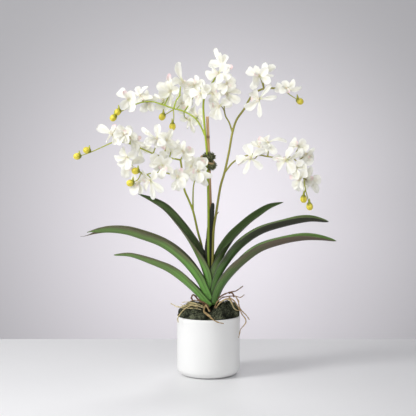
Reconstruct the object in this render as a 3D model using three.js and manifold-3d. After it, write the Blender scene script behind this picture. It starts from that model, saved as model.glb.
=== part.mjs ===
// Potted orchid of the vanda kind: strap leaves in a fan, three branching flower stems,
// a bamboo cane, moss and roots in a plain cylindrical pot.
// Millimetres, +Z up, the origin at the centre of the pot's foot, -Y to the front.

import * as THREE from "three";
import { mergeVertices } from "three/addons/utils/BufferGeometryUtils.js";
import Module from "manifold-3d";

const wasm = await Module();
wasm.setup();

// Driving dimensions

const POT_RADIUS = 60;
const POT_HEIGHT = 112;
const POT_WALL = 5;
const POT_FLOOR = 7;
const POT_FOOT_RADIUS = 43;
const POT_CORNER = 17;
const POT_RIM_ROUND = 2;
const MIX_TOP = 95;
const CLEARANCE = 0.3;
const LEAF_THICKNESS = 1.2;
const STEM_RADIUS = 2.6;
const BRANCH_RADIUS = 1.8;
const TWIG_RADIUS = 1.2;
const STALK_RADIUS = 1;
const CANE_RADIUS = 3;
const ROOT_RADIUS = 1.5;
const PETAL_LENGTH = 29;
const PETAL_WIDTH = 14;
const PETAL_THICKNESS = 1;
const LIP_LENGTH = 21;
const FLOWER_HEART_RADIUS = 3.6;
const BUD_LENGTH = 15;
const BUD_RADIUS = 6;

// Fineness of the curved faces

const POT_SIDES = 40;
const POT_CORNER_STEPS = 4;
const MOSS_SIDES = 28;
const ROOTSTOCK_SIDES = 12;
const CANE_SIDES = 8;
const STEM_SIDES = 6;
const THIN_SIDES = 5;
const STALK_SIDES = 4;
const STALK_STEPS = 3;
const TWIG_STEPS = 4;
const EXTRA_STEM_STEPS = 4;
const BUD_SIDES = 7;
const BUD_RINGS = 5;
const TUFT_SIDES = 9;
const TUFT_RINGS = 6;
const RAFFIA_SIDES = 14;

// Finishes

const finishes = {
  ceramic: { color: 0xf4f4f2, roughness: 0.35 },
  mix: { color: 0x3b2c20, roughness: 0.95 },
  moss: { color: 0x343d26, roughness: 1 },
  bark: { color: 0x7a5c40, roughness: 0.85 },
  root: { color: 0xb0925f, roughness: 0.8 },
  leaf: { color: 0x4f7a3c, roughness: 0.55 },
  stem: { color: 0x8ba834, roughness: 0.6 },
  bamboo: { color: 0xb98e62, roughness: 0.6 },
  raffia: { color: 0xc9a873, roughness: 0.8 },
  petal: { color: 0xf6f5ec, roughness: 0.7 },
  bud: { color: 0xcfc440, roughness: 0.6 },
};

const plant = new THREE.Group();

function addPiece(name, geometry, finish) {
  const material = new THREE.MeshStandardMaterial({ metalness: 0, ...finishes[finish] });
  const mesh = new THREE.Mesh(geometry, material);
  mesh.name = name;
  plant.add(mesh);
}

// Solids

const radians = THREE.MathUtils.degToRad;
const point = ([x, y, z]) => new THREE.Vector3(x, y, z);
const curveThrough = (points) => new THREE.CatmullRomCurve3(points.map(point), false, "centripetal");

function solidOf(geometry) {
  const bare = geometry.clone();
  bare.deleteAttribute("normal");
  bare.deleteAttribute("uv");
  const merged = mergeVertices(bare);
  const vertProperties = new Float32Array(merged.attributes.position.array);
  const triVerts = new Uint32Array(merged.index.array);
  return new wasm.Manifold(new wasm.Mesh({ numProp: 3, vertProperties, triVerts }));
}

function geometryOf(solid) {
  const mesh = solid.getMesh();
  const geometry = new THREE.BufferGeometry();
  geometry.setAttribute("position", new THREE.BufferAttribute(new Float32Array(mesh.vertProperties), 3));
  geometry.setIndex(new THREE.BufferAttribute(new Uint32Array(mesh.triVerts), 1));
  geometry.computeVertexNormals();
  return geometry;
}

const joined = (geometries) => geometries.map(solidOf).reduce((whole, piece) => whole.add(piece));

function roundSection(radius, sides) {
  const section = new THREE.Shape();
  for (let side = 0; side < sides; side += 1) {
    const angle = (side / sides) * 2 * Math.PI;
    const x = radius * Math.cos(angle);
    const y = radius * Math.sin(angle);
    if (side === 0) section.moveTo(x, y);
    else section.lineTo(x, y);
  }
  section.closePath();
  return section;
}

function tube(curve, radius, sides, steps) {
  const along = { steps, bevelEnabled: false, extrudePath: curve };
  return new THREE.ExtrudeGeometry(roundSection(radius, sides), along);
}

// A closed skin over rings of points that all have the same count, with a flat cap at each end.
function skinOver(rings) {
  const count = rings[0].length;
  const positions = rings.flat().flatMap((p) => [p.x, p.y, p.z]);
  const faces = [];
  for (let ring = 0; ring + 1 < rings.length; ring += 1) {
    for (let side = 0; side < count; side += 1) {
      const next = (side + 1) % count;
      const near = ring * count;
      const far = near + count;
      faces.push(near + side, near + next, far + next);
      faces.push(near + side, far + next, far + side);
    }
  }
  const last = (rings.length - 1) * count;
  for (const [a, b, c] of capOf(rings[0])) faces.push(c, b, a);
  for (const [a, b, c] of capOf(rings[rings.length - 1])) faces.push(last + a, last + b, last + c);
  const geometry = new THREE.BufferGeometry();
  geometry.setAttribute("position", new THREE.Float32BufferAttribute(positions, 3));
  geometry.setIndex(faces);
  return geometry;
}

// A ring folds into a channel, so its cap is a strip between its outer and its inner half.
function capOf(ring) {
  const half = ring.length / 2;
  const strip = [];
  for (let step = 0; step + 1 < half; step += 1) {
    const mirror = ring.length - 1 - step;
    strip.push([step, step + 1, mirror - 1], [step, mirror - 1, mirror]);
  }
  return strip;
}

// Pot, potting mix and moss

function potProfile() {
  const innerRadius = POT_RADIUS - POT_WALL;
  const outline = new THREE.Path();
  outline.moveTo(0, 0);
  outline.lineTo(POT_FOOT_RADIUS, 0);
  outline.quadraticCurveTo(POT_RADIUS, 0, POT_RADIUS, POT_CORNER);
  outline.lineTo(POT_RADIUS, POT_HEIGHT - POT_RIM_ROUND);
  outline.quadraticCurveTo(POT_RADIUS, POT_HEIGHT, POT_RADIUS - POT_RIM_ROUND, POT_HEIGHT);
  outline.lineTo(innerRadius + POT_RIM_ROUND, POT_HEIGHT);
  outline.lineTo(innerRadius, POT_HEIGHT - POT_RIM_ROUND);
  outline.lineTo(innerRadius, POT_CORNER + POT_FLOOR);
  outline.lineTo(POT_FOOT_RADIUS - POT_WALL, POT_FLOOR);
  outline.lineTo(0, POT_FLOOR);
  return outline.getPoints(POT_CORNER_STEPS);
}

function turned(profile, sides) {
  return new THREE.LatheGeometry(profile, sides).rotateX(Math.PI / 2);
}

function mixGeometry() {
  const innerRadius = POT_RADIUS - POT_WALL - CLEARANCE;
  const floor = POT_FLOOR + CLEARANCE;
  const profile = [
    [0, floor],
    [POT_FOOT_RADIUS - POT_WALL - 2 * CLEARANCE, floor],
    [innerRadius, POT_CORNER + POT_FLOOR + 2 * CLEARANCE],
    [innerRadius, MIX_TOP],
    [0, MIX_TOP],
  ];
  return turned(profile.map(([r, z]) => new THREE.Vector2(r, z)), POT_SIDES);
}

// Tufts of the moss bed: place, extra height and spread of each.
const mossTufts = [
  { x: -32, y: 10, rise: 13, spread: 15 },
  { x: 40, y: 6, rise: 15, spread: 13 },
  { x: 10, y: 40, rise: 12, spread: 16 },
  { x: -24, y: -38, rise: 4, spread: 12 },
  { x: 26, y: -34, rise: 5, spread: 12 },
];
const MOSS_MIDDLE = 123;
const MOSS_EDGE = POT_HEIGHT + 4;
const MOSS_RINGS = [0.85, 0.65, 0.45, 0.22, 0];

function mossHeight(x, y) {
  const outward = Math.hypot(x, y) / POT_RADIUS;
  const mound = MOSS_EDGE + (MOSS_MIDDLE - MOSS_EDGE) * (1 - outward ** 4);
  const bump = (t) => t.rise * Math.exp(-((x - t.x) ** 2 + (y - t.y) ** 2) / (2 * t.spread ** 2));
  return mossTufts.reduce((height, tuft) => height + bump(tuft), mound);
}

function mossGeometry() {
  const neck = POT_RADIUS - POT_WALL - CLEARANCE;
  const overhang = POT_RADIUS - POT_RIM_ROUND;
  const foot = MIX_TOP + CLEARANCE;
  const rings = [
    [0, foot],
    [neck, foot],
    [neck, POT_HEIGHT + CLEARANCE],
    [overhang, POT_HEIGHT + CLEARANCE],
    [overhang, MOSS_EDGE],
    ...MOSS_RINGS.map((share) => [share * overhang, MOSS_EDGE]),
  ];
  const geometry = turned(rings.map(([r, z]) => new THREE.Vector2(r, z)), MOSS_SIDES);
  const places = geometry.attributes.position;
  for (let i = 0; i < places.count; i += 1) {
    if (places.getZ(i) >= MOSS_EDGE) places.setZ(i, mossHeight(places.getX(i), places.getY(i)));
  }
  return geometry;
}

// Rootstock: the short stem that the leaves clasp.

const rootstockProfile = [[0, 60], [8, 62], [11, 90], [11, 116], [8, 122], [0, 125]];

function rootstockGeometry() {
  return turned(rootstockProfile.map(([r, z]) => new THREE.Vector2(r, z)), ROOTSTOCK_SIDES);
}

// Leaves. The midline runs along the near wing of the folded leaf, from its clasp outward.
// clasp is half the fold's width at the foot, spread half its width further out, and lean
// turns the channel about the midline, in degrees, at its foot, its middle and its tip.

const leaves = {
  leaf_lower_left: {
    midline: [[4, 0, 132], [-8, 0, 144], [-23, -1, 160], [-44, -4, 180], [-75, -9, 203], [-111, -14, 218],
      [-147, -18, 229], [-177, -20, 229]],
    width: 14, clasp: 18, spread: 6, lean: [0, -6, 0],
  },
  leaf_lower_right: {
    midline: [[9, 0, 134], [14, 0, 149], [20, -1, 164], [29, -3, 179], [45, -7, 199], [66, -13, 220],
      [96, -20, 242], [136, -28, 256], [176, -34, 263], [206, -38, 262], [236, -41, 257]],
    width: 15, clasp: 16, spread: 7, lean: [0, 12, 45],
  },
  leaf_long_left: {
    midline: [[2, 0, 141], [-5, 0, 160], [-15, 0, 181], [-39, -3, 213], [-65, -8, 237], [-90, -13, 253],
      [-124, -20, 266], [-155, -26, 275], [-195, -32, 277], [-237, -37, 266]],
    width: 18, clasp: 14, spread: 8, lean: [4, 15, -10],
  },
  leaf_middle_right: {
    midline: [[6, 0, 147], [9, 0, 160], [13, 0, 179], [21, 0, 197], [31, -1, 213], [46, -2, 233],
      [65, -3, 252], [97, -4, 273], [138, -4, 286], [189, -3, 295], [226, -2, 290]],
    width: 15, clasp: 12, spread: 7, lean: [2, 8, 22],
  },
  leaf_upper_left: {
    midline: [[3, 0, 152], [0, 0, 185], [-9, 0, 213], [-22, 2, 237], [-37, 5, 261], [-55, 9, 285],
      [-82, 15, 314], [-107, 20, 329], [-134, 24, 341]],
    width: 16, clasp: 10, spread: 8, lean: [4, 44, 60],
  },
  leaf_upper_right: {
    midline: [[5, 0, 158], [9, 0, 189], [16, 0, 213], [25, 2, 231], [34, 4, 245], [45, 7, 260],
      [62, 11, 277], [78, 15, 291], [95, 18, 303], [116, 22, 316], [143, 25, 325]],
    width: 16, clasp: 8, spread: 8, lean: [2, 40, 60],
  },
  leaf_centre: {
    midline: [[3, 2.9, 172], [3.2, 2.9, 200], [3.5, 2.9, 236], [4.8, 2.9, 283], [8, 2.9, 325]],
    width: 15, clasp: 2.4, spread: 2.8, lean: [0, 0, 0],
  },
};
const LEAF_STATIONS = 15;
const LEAF_FOOT_WIDTH = 0.86;
const LEAF_TIP_START = 0.72;
const LEAF_TIP_WIDTH = 0.1;
const LEAF_TIP_SHARPNESS = 1.6;
const LEAF_UNFOLD_START = 0.06;
const LEAF_UNFOLD_END = 0.5;
const LEAF_TURN_START = 0.16;
const LEAF_TURN_END = 0.54;
const LEAF_KEEL_THICKNESS = 1.4;
const LEAF_THICKNESS_SHARE = 0.45;
// The knee is where the channel's wall bends: its share of the fold's width and of the leaf's
// height, from the square fold at the foot to the open V further out.
const KNEE_WIDTH = [1, 0.6];
const KNEE_HEIGHT = [0.1, 0.3];
const KNEE_INSET = 0.3;

function leafWidthAt(t, width) {
  const belly = Math.sin(Math.PI * Math.min(1, t / LEAF_TIP_START));
  const tip = Math.max(0, (t - LEAF_TIP_START) / (1 - LEAF_TIP_START));
  const narrowed = 1 - (1 - LEAF_TIP_WIDTH) * tip ** LEAF_TIP_SHARPNESS;
  return width * THREE.MathUtils.lerp(LEAF_FOOT_WIDTH, 1, belly) * narrowed;
}

// A smooth value that passes through three numbers at the shares 0, 0.5 and 1.
function throughThree([first, middle, last], t) {
  return first * (1 - t) * (1 - 2 * t) + middle * 4 * t * (1 - t) + last * t * (2 * t - 1);
}

// One cross-section of a leaf: outer face from the near edge to the far edge, then the inner face back.
function leafRing({ middle, inward, sideways, height, halfFold, kneeFold, kneeUp, thickness }) {
  const at = (across, up) =>
    middle.clone().addScaledVector(sideways, across).addScaledVector(inward, up - height / 2);
  const innerKneeUp = kneeUp + KNEE_INSET * thickness;
  return [
    at(-halfFold, height),
    at(-kneeFold, kneeUp),
    at(0, 0),
    at(kneeFold, kneeUp),
    at(halfFold, height),
    at(halfFold - thickness, height),
    at(kneeFold - thickness, innerKneeUp),
    at(0, LEAF_KEEL_THICKNESS * thickness),
    at(thickness - kneeFold, innerKneeUp),
    at(thickness - halfFold, height),
  ];
}

function leafGeometry({ midline, width, clasp, spread, lean }) {
  const curve = curveThrough(midline);
  const rings = [];
  for (let station = 0; station <= LEAF_STATIONS; station += 1) {
    const t = station / LEAF_STATIONS;
    const middle = curve.getPointAt(t);
    const along = curve.getTangentAt(t);
    const sideways = new THREE.Vector3(0, 0, 1).cross(along).normalize();
    const inward = new THREE.Vector3().crossVectors(along, sideways);
    const free = THREE.MathUtils.smoothstep(t, LEAF_TURN_START, LEAF_TURN_END);
    const turn = radians(throughThree(lean, t) * free) * Math.sign(along.x);
    sideways.applyAxisAngle(along, turn);
    inward.applyAxisAngle(along, turn);
    const height = leafWidthAt(t, width);
    const unfold = THREE.MathUtils.smoothstep(t, LEAF_UNFOLD_START, LEAF_UNFOLD_END);
    const halfFold = THREE.MathUtils.lerp(clasp, (spread * height) / width, unfold);
    const kneeFold = halfFold * THREE.MathUtils.lerp(KNEE_WIDTH[0], KNEE_WIDTH[1], unfold);
    const kneeUp = height * THREE.MathUtils.lerp(KNEE_HEIGHT[0], KNEE_HEIGHT[1], unfold);
    const thickness = Math.min(LEAF_THICKNESS, halfFold * LEAF_THICKNESS_SHARE);
    rings.push(leafRing({ middle, inward, sideways, height, halfFold, kneeFold, kneeUp, thickness }));
  }
  return skinOver(rings);
}

// Flower stems: the main line first, then the lines that fork from it.

const stems = {
  stem_left: {
    trunk: [[-5, 26, 66], [-5, 26, 100], [-5, 26, 137], [-8, 25, 195], [-12, 21, 237], [-20, 14, 269],
      [-29, 6, 309], [-37, 2, 330], [-45, -3, 350], [-48, -8, 376], [-52, -12, 406]],
    branches: {
      left_short: [[-29, 6, 309], [-29, 4, 338], [-28, 0, 357], [-23, -6, 376]],
      left_high: [[-52, -12, 406], [-72, -12, 410], [-96, -12, 415], [-122, -12, 426], [-146, -12, 436],
        [-172, -14, 440], [-200, -18, 429]],
      left_low: [[-46, -4, 358], [-66, -10, 377], [-85, -16, 383], [-104, -22, 382], [-119, -28, 378]],
    },
  },
  stem_centre: {
    trunk: [[1, -3.6, 146], [0.6, -3.7, 190], [0, -4, 229], [0, -4, 308], [-1, -2, 368], [-3, 0, 421],
      [-7, 0, 466], [-9, 2, 516], [-2, 6, 537], [8, 8, 551], [13, 8, 560]],
    branches: {
      centre_left: [[-7, 1, 452], [-14, 1, 468], [-25, 3, 484], [-47, 6, 497], [-65, 8, 502],
        [-88, 9, 510], [-106, 10, 515], [-128, 10, 513], [-143, 9, 507], [-154, 8, 502]],
      centre_curl: [[-65, 8, 502], [-63, 8, 510], [-60, 9, 518], [-54, 10, 526]],
    },
  },
  stem_right: {
    trunk: [[7, -3.8, 152], [7, -3.8, 190], [8, -4, 216], [10, -1, 276], [14, 2, 302], [23, 4, 357],
      [30, 5, 381], [39, 8, 422], [45, 10, 456], [53, 11, 481], [67, 11, 501], [81, 10, 525],
      [97, 10, 537], [123, 8, 540], [144, 6, 534]],
    branches: {
      right_inner: [[45, 10, 458], [39, 12, 476], [32, 17, 489], [30, 24, 506], [33, 29, 517]],
      right_low: [[30, 5, 381], [46, -2, 401], [65, -10, 412], [87, -16, 417], [107, -20, 413],
        [133, -24, 410], [154, -28, 411], [169, -32, 395], [176, -34, 373]],
      right_thorn: [[14, 2, 302], [17, 1, 305], [20, 0, 309]],
    },
  },
};

// Flowers. Each row names the flower and the line that carries it, then gives the place of its
// heart, where its face points (azimuth to the right of the front, elevation above level) and
// the turn of its top petal clockwise, in degrees.

const flowers = [
  ["flower_upper_left_1", "centre_left", [-147, -28, 519], -15, 0, 180],
  ["flower_upper_left_2", "centre_left", [-129, 30, 526], -20, 15, -176],
  ["flower_upper_left_3", "centre_left", [-71, 28, 535], 0, -5, 167],
  ["flower_upper_left_4", "centre_curl", [-48, 6, 553], 15, -10, -99],
  ["flower_upper_left_5", "stem_centre", [-14, -30, 529], -35, 0, 5],
  ["flower_upper_left_6", "centre_left", [-50, 43, 513], 14, 4, 41],
  ["flower_upper_left_7", "centre_left", [-37, 30, 481], 125, -20, -14],
  ["flower_crown_1", "stem_centre", [27, 18, 583], 35, 0, -79],
  ["flower_crown_2", "stem_centre", [19, -22, 567], -20, -10, -18],
  ["flower_crown_3", "right_inner", [34, 12, 531], 25, -25, 0],
  ["flower_crown_4", "right_inner", [21, -18, 506], -10, -20, 95],
  ["flower_upper_right_1", "stem_right", [94, -14, 562], -10, 0, 88],
  ["flower_upper_right_2", "stem_right", [101, 24, 569], 20, 20, -9],
  ["flower_upper_right_3", "stem_right", [94, -18, 519], 0, -10, 38],
  ["flower_upper_right_4", "stem_right", [145, -12, 539], 10, 0, 3],
  ["flower_lower_right_1", "right_low", [78, -40, 410], -10, 0, 61],
  ["flower_lower_right_2", "right_low", [110, -28, 438], -15, 20, 100],
  ["flower_lower_right_3", "right_low", [142, -48, 407], -10, -15, 85],
  ["flower_lower_right_4", "right_low", [167, -60, 373], -30, -30, 86],
  ["flower_lower_right_5", "right_low", [182, -14, 368], 35, -20, -25],
  ["flower_lower_left_1", "left_high", [-176, -44, 454], -40, 15, -4],
  ["flower_lower_left_2", "left_high", [-145, -29, 447], 20, 0, -88],
  ["flower_lower_left_3", "left_high", [-94, -44, 445], -5, 10, 84],
  ["flower_lower_left_4", "left_high", [-79, -4, 443], 30, 10, 0],
  ["flower_lower_left_5", "left_high", [-148, -52, 412], -20, 0, -31],
  ["flower_lower_left_6", "left_low", [-147, -16, 396], -25, -20, 20],
  ["flower_lower_left_7", "left_low", [-106, -62, 370], -5, -15, -10],
  ["flower_lower_left_8", "left_low", [-89, -38, 404], 5, 25, 170],
  ["flower_lower_left_9", "left_low", [-55, -54, 376], 0, -5, 193],
  ["flower_lower_left_10", "left_high", [-47, -24, 422], 20, 5, -126],
  ["flower_lower_left_11", "left_short", [-19, -40, 386], 10, -20, 85],
].map(([name, stem, heart, azimuth, elevation, turn]) => ({ name, stem, heart, azimuth, elevation, turn }));

// Turns the flower's own frame (x right, y to its top, z out of its face) into its place.
function flowerPlace({ heart, azimuth, elevation, turn }) {
  const face = new THREE.Vector3(
    Math.sin(radians(azimuth)) * Math.cos(radians(elevation)),
    -Math.cos(radians(azimuth)) * Math.cos(radians(elevation)),
    Math.sin(radians(elevation)),
  );
  const right = new THREE.Vector3(Math.cos(radians(azimuth)), Math.sin(radians(azimuth)), 0);
  const top = new THREE.Vector3().crossVectors(face, right);
  const basis = new THREE.Matrix4().makeBasis(right, top, face);
  const roll = new THREE.Matrix4().makeRotationZ(-radians(turn));
  return { face, matrix: new THREE.Matrix4().setPosition(...heart).multiply(basis).multiply(roll) };
}

const PETAL_CUP = 6;
const PETAL_SHOULDER = 0.68;
const flowerArms = [0, 72, 144, 180, 216, 288].map((angle) =>
  (angle === 180
    ? { angle, length: LIP_LENGTH, width: PETAL_WIDTH / 2, cup: LIP_LENGTH / 2 }
    : { angle, length: PETAL_LENGTH, width: PETAL_WIDTH, cup: PETAL_CUP }));

// The flower is one star: each arm is a pointed lens, and arms meet in a valley round the heart.
function flowerGeometry() {
  const places = [];
  const faces = [];
  const place = (x, y, z) => places.push(x, y, z) / 3 - 1;
  const around = (angle, out, across, z) => {
    const [s, c] = [Math.sin(radians(angle)), Math.cos(radians(angle))];
    return place(out * s + across * c, out * c - across * s, z);
  };
  const front = place(0, 0, FLOWER_HEART_RADIUS);
  const back = place(0, 0, -FLOWER_HEART_RADIUS);
  const valleys = flowerArms.map(({ angle }, i) => {
    const next = i + 1 < flowerArms.length ? flowerArms[i + 1].angle : 360;
    return around((angle + next) / 2, FLOWER_HEART_RADIUS, 0, 0);
  });
  flowerArms.forEach(({ angle, length, width, cup }, i) => {
    const before = valleys[(i + valleys.length - 1) % valleys.length];
    const after = valleys[i];
    const out = length * PETAL_SHOULDER;
    const lift = cup * PETAL_SHOULDER ** 2;
    const left = around(angle, out, -width / 2, lift);
    const right = around(angle, out, width / 2, lift);
    const ridge = around(angle, out, 0, lift + PETAL_THICKNESS / 2);
    const keel = around(angle, out, 0, lift - PETAL_THICKNESS / 2);
    const tip = around(angle, length, 0, cup);
    const outline = [before, left, tip, right, after];
    for (const [middle, heart, flip] of [[ridge, front, false], [keel, back, true]]) {
      const fan = outline.slice(0, -1).map((corner, k) => [middle, corner, outline[k + 1]]);
      const upper = [[heart, before, middle], [heart, middle, after], ...fan];
      for (const [a, b, c] of upper) faces.push(a, ...(flip ? [b, c] : [c, b]));
    }
  });
  const geometry = new THREE.BufferGeometry();
  geometry.setAttribute("position", new THREE.Float32BufferAttribute(places, 3));
  geometry.setIndex(faces);
  return geometry;
}

// Flower stalks leave the nearest point of their line and end just behind the flower's heart.

const STALK_BEND = 14;
const LINE_SAMPLES = 80;

const lines = {};
for (const [name, stem] of Object.entries(stems)) {
  lines[name] = curveThrough(stem.trunk);
  for (const [branch, points] of Object.entries(stem.branches)) lines[branch] = curveThrough(points);
}

function nearestOn(curve, target) {
  const samples = curve.getSpacedPoints(LINE_SAMPLES);
  return samples.reduce((best, p) => (p.distanceTo(target) < best.distanceTo(target) ? p : best));
}

function stalkGeometry(flower) {
  const { face } = flowerPlace(flower);
  const end = point(flower.heart).addScaledVector(face, -(FLOWER_HEART_RADIUS + CLEARANCE));
  const bend = point(flower.heart).addScaledVector(face, -STALK_BEND);
  const start = nearestOn(lines[flower.stem], bend);
  return tube(new THREE.QuadraticBezierCurve3(start, bend, end), STALK_RADIUS, STALK_SIDES, STALK_STEPS);
}

function stemTube(name, radius) {
  return tube(lines[name], radius, STEM_SIDES, stems[name].trunk.length + EXTRA_STEM_STEPS);
}

function stemSolid(name) {
  const { branches } = stems[name];
  const owned = [name, ...Object.keys(branches)];
  const stalks = flowers.filter((flower) => owned.includes(flower.stem)).map(stalkGeometry);
  const forks = Object.entries(branches).map(([branch, points]) =>
    tube(lines[branch], BRANCH_RADIUS, THIN_SIDES, points.length + 1));
  return joined([stemTube(name, STEM_RADIUS), ...forks, ...stalks]);
}

// Buds: each twig is a line that ends in an egg-shaped bud, with a second bud beside it on some.

const budTwigs = {
  buds_upper_left_end: {
    twig: [[-154.4, 8, 501.7], [-163, 7, 497], [-173, 6, 490]],
    buds: [
      { at: [-170, 7, 496], towards: [-0.6, 0, -0.6] },
      { at: [-178, 5, 485], towards: [-0.7, 0, -0.7] },
    ],
  },
  buds_upper_left_middle: {
    twig: [[-65.6, 6.2, 500.2], [-72, 3, 496], [-80, 0, 491], [-85, -2, 488]],
    buds: [{ at: [-86, -3, 487], towards: [-0.5, 0, -0.8] }, { at: [-67, 3, 469], towards: [0, 0, -1] }],
    second: [[-65.6, 6.2, 500.2], [-65, 4, 486], [-66, 3, 474]],
  },
  buds_lower_left_end: {
    twig: [[-200.4, -18.1, 428.7], [-215, -20, 422], [-228, -21, 417], [-238, -21, 414]],
    buds: [
      { at: [-225, -21, 424], towards: [-0.9, 0, 0.2] },
      { at: [-243, -21, 413], towards: [-1, 0, -0.1] },
    ],
  },
  buds_lower_left_inner: {
    twig: [[-119.9, -28.8, 378], [-124, -40, 382], [-129, -55, 386], [-131, -60, 387]],
    buds: [{ at: [-132, -62, 387], towards: [-1, 0, 0] }, { at: [-142, -58, 365], towards: [-1, 0, -0.3] }],
    second: [[-124, -40, 382], [-130, -52, 370], [-140, -57, 366]],
  },
  buds_upper_right_end: {
    twig: [[144.5, 5.9, 533.7], [155, 5, 526], [166, 4, 519]],
    buds: [{ at: [171, 4, 516], towards: [0.8, 0, -0.5] }],
  },
  buds_lower_right_end: {
    twig: [[176.1, -34, 372.4], [179, -36, 352], [184, -36, 334], [187, -36, 322]],
    buds: [{ at: [176, -37, 335], towards: [0, 0, -1] }, { at: [187, -36, 321], towards: [0.2, 0, -1] }],
    second: [[179, -36, 352], [177, -37, 345], [176, -37, 338]],
  },
};

function budGeometry({ at, towards }) {
  const bud = new THREE.SphereGeometry(BUD_RADIUS, BUD_SIDES, BUD_RINGS);
  bud.scale(1, BUD_LENGTH / (2 * BUD_RADIUS), 1);
  const facing = new THREE.Quaternion();
  facing.setFromUnitVectors(new THREE.Vector3(0, 1, 0), point(towards).normalize());
  return bud.applyQuaternion(facing).translate(...at);
}

function budTwigSolid({ twig, second, buds }) {
  const twigTube = (line) => tube(curveThrough(line), TWIG_RADIUS, THIN_SIDES, TWIG_STEPS);
  const twigs = [twig, second].filter(Boolean).map(twigTube);
  return joined([...twigs, ...buds.map(budGeometry)]);
}

// Roots run over the moss by its own height, and past the rim by the height given.

const overMoss = (x, y, lift) => [x, y, mossHeight(x, y) + lift];

const roots = {
  root_left_high: [
    [overMoss(-19, -12, 1.4), overMoss(-26, -12, 3), overMoss(-38, -12, 5), [-55, -11, 137],
      [-69, -10, 137]],
    [overMoss(-30, -12, 3.6), [-36, -16, 142], [-50, -20, 140], [-60, -22, 136]],
  ],
  root_left_low: [
    [overMoss(-12, -20, 1.8), overMoss(-24, -26, 2.2), overMoss(-40, -32, 4), [-52, -38, 125],
      [-56, -36, 112]],
  ],
  root_front: [
    [overMoss(-5, -21, 1.8), overMoss(-8, -30, 2.2), overMoss(-6, -44, 3), [2, -56, 122], [10, -62, 117],
      [27, -62, 110]],
  ],
  root_right_high: [
    [overMoss(15, -19, 1.4), [18, -20, 142], [24, -20, 151], [34, -18, 156], [46, -16, 158], [65, -11, 167]],
    [[40, -17, 157], [50, -20, 152], [66, -24, 153]],
  ],
  root_right_low: [
    [overMoss(20, -14, 1.4), [25, -24, 146], [38, -28, 152], [49, -26, 144], [62, -21, 125], [77, -15, 105]],
    [[44, -27.5, 149], [54, -30, 140], [62, -32, 122], [69, -26, 107], [60, -30, 95], [56, -33, 76]],
  ],
};

const rootSolid = (routes) =>
  joined(routes.map((route) => tube(curveThrough(route), ROOT_RADIUS, THIN_SIDES, 2 * route.length)));

// Cane and tie

const caneLine = new THREE.LineCurve3(new THREE.Vector3(14, 29, 40), new THREE.Vector3(-2, 4, 487));

const TIE_MIDDLE = [-1.5, 4, 405];
const TIE_RADIUS = 9.5;
const RAFFIA_RADIUS = 1.3;
const RAFFIA_NOD = 18;
const RAFFIA_SLANT = 28;
const tufts = {
  tie_moss_upper: { middle: [1, 4, 412], reach: [11, 10, 7] },
  tie_moss_lower: { middle: [3, 4, 395], reach: [11, 10, 8] },
};

function tuftSolid({ middle, reach }) {
  return solidOf(new THREE.SphereGeometry(1, TUFT_SIDES, TUFT_RINGS).scale(...reach).translate(...middle));
}

function raffiaGeometry(radius) {
  return new THREE.TorusGeometry(TIE_RADIUS, radius, THIN_SIDES, RAFFIA_SIDES)
    .rotateX(radians(RAFFIA_NOD))
    .rotateY(radians(RAFFIA_SLANT))
    .translate(...TIE_MIDDLE);
}

const caneTube = (radius) => tube(caneLine, radius, CANE_SIDES, 1);

// Assembly

addPiece("pot", turned(potProfile(), POT_SIDES), "ceramic");

// Room for the buried ends of the left stem, the cane and the rootstock.
const [buriedEnd, , clearOfMoss] = stems.stem_left.trunk.map(point);
buriedEnd.z -= CLEARANCE;
const rootstockRoom = rootstockProfile.map(([r, z]) =>
  [r === 0 ? 0 : r + CLEARANCE, z < MIX_TOP ? z - CLEARANCE : z + CLEARANCE]);
const sunken = joined([
  tube(new THREE.LineCurve3(buriedEnd, clearOfMoss), STEM_RADIUS + CLEARANCE, CANE_SIDES, 1),
  caneTube(CANE_RADIUS + CLEARANCE),
  turned(rootstockRoom.map(([r, z]) => new THREE.Vector2(r, z)), ROOTSTOCK_SIDES),
]);

addPiece("potting_mix", geometryOf(solidOf(mixGeometry()).subtract(sunken)), "mix");
addPiece("moss_bed", geometryOf(solidOf(mossGeometry()).subtract(sunken)), "moss");
addPiece("rootstock", rootstockGeometry(), "bark");

for (const [name, leaf] of Object.entries(leaves)) addPiece(name, leafGeometry(leaf), "leaf");
for (const name of Object.keys(stems)) addPiece(name, geometryOf(stemSolid(name)), "stem");
for (const [name, twig] of Object.entries(budTwigs)) addPiece(name, geometryOf(budTwigSolid(twig)), "bud");
for (const [name, routes] of Object.entries(roots)) addPiece(name, geometryOf(rootSolid(routes)), "root");

for (const flower of flowers) {
  addPiece(flower.name, flowerGeometry().applyMatrix4(flowerPlace(flower).matrix), "petal");
}

addPiece("bamboo_stake", caneTube(CANE_RADIUS), "bamboo");

const tieCores = joined([
  caneTube(CANE_RADIUS + CLEARANCE),
  stemTube("stem_centre", STEM_RADIUS + CLEARANCE),
  raffiaGeometry(RAFFIA_RADIUS + CLEARANCE),
]);
for (const [name, tuft] of Object.entries(tufts)) {
  addPiece(name, geometryOf(tuftSolid(tuft).subtract(tieCores)), "moss");
}
addPiece("tie_raffia", raffiaGeometry(RAFFIA_RADIUS), "raffia");

export default plant;
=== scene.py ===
# %% [markdown]
# # A potted orchid of the vanda kind
#
# This lesson dresses a plain CAD model of a plant in a pot. The CAD model fixes where
# every leaf, stem and flower is. Here each of them gets its fine shape and its finish:
# leathery leaves, thin petals, knobbly roots, clumps of moss and a glazed pot.
# Lengths are written in millimetres and turned into Blender's metres by MM.

import math
import random

import bpy
from mathutils import Matrix, Vector, noise


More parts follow.
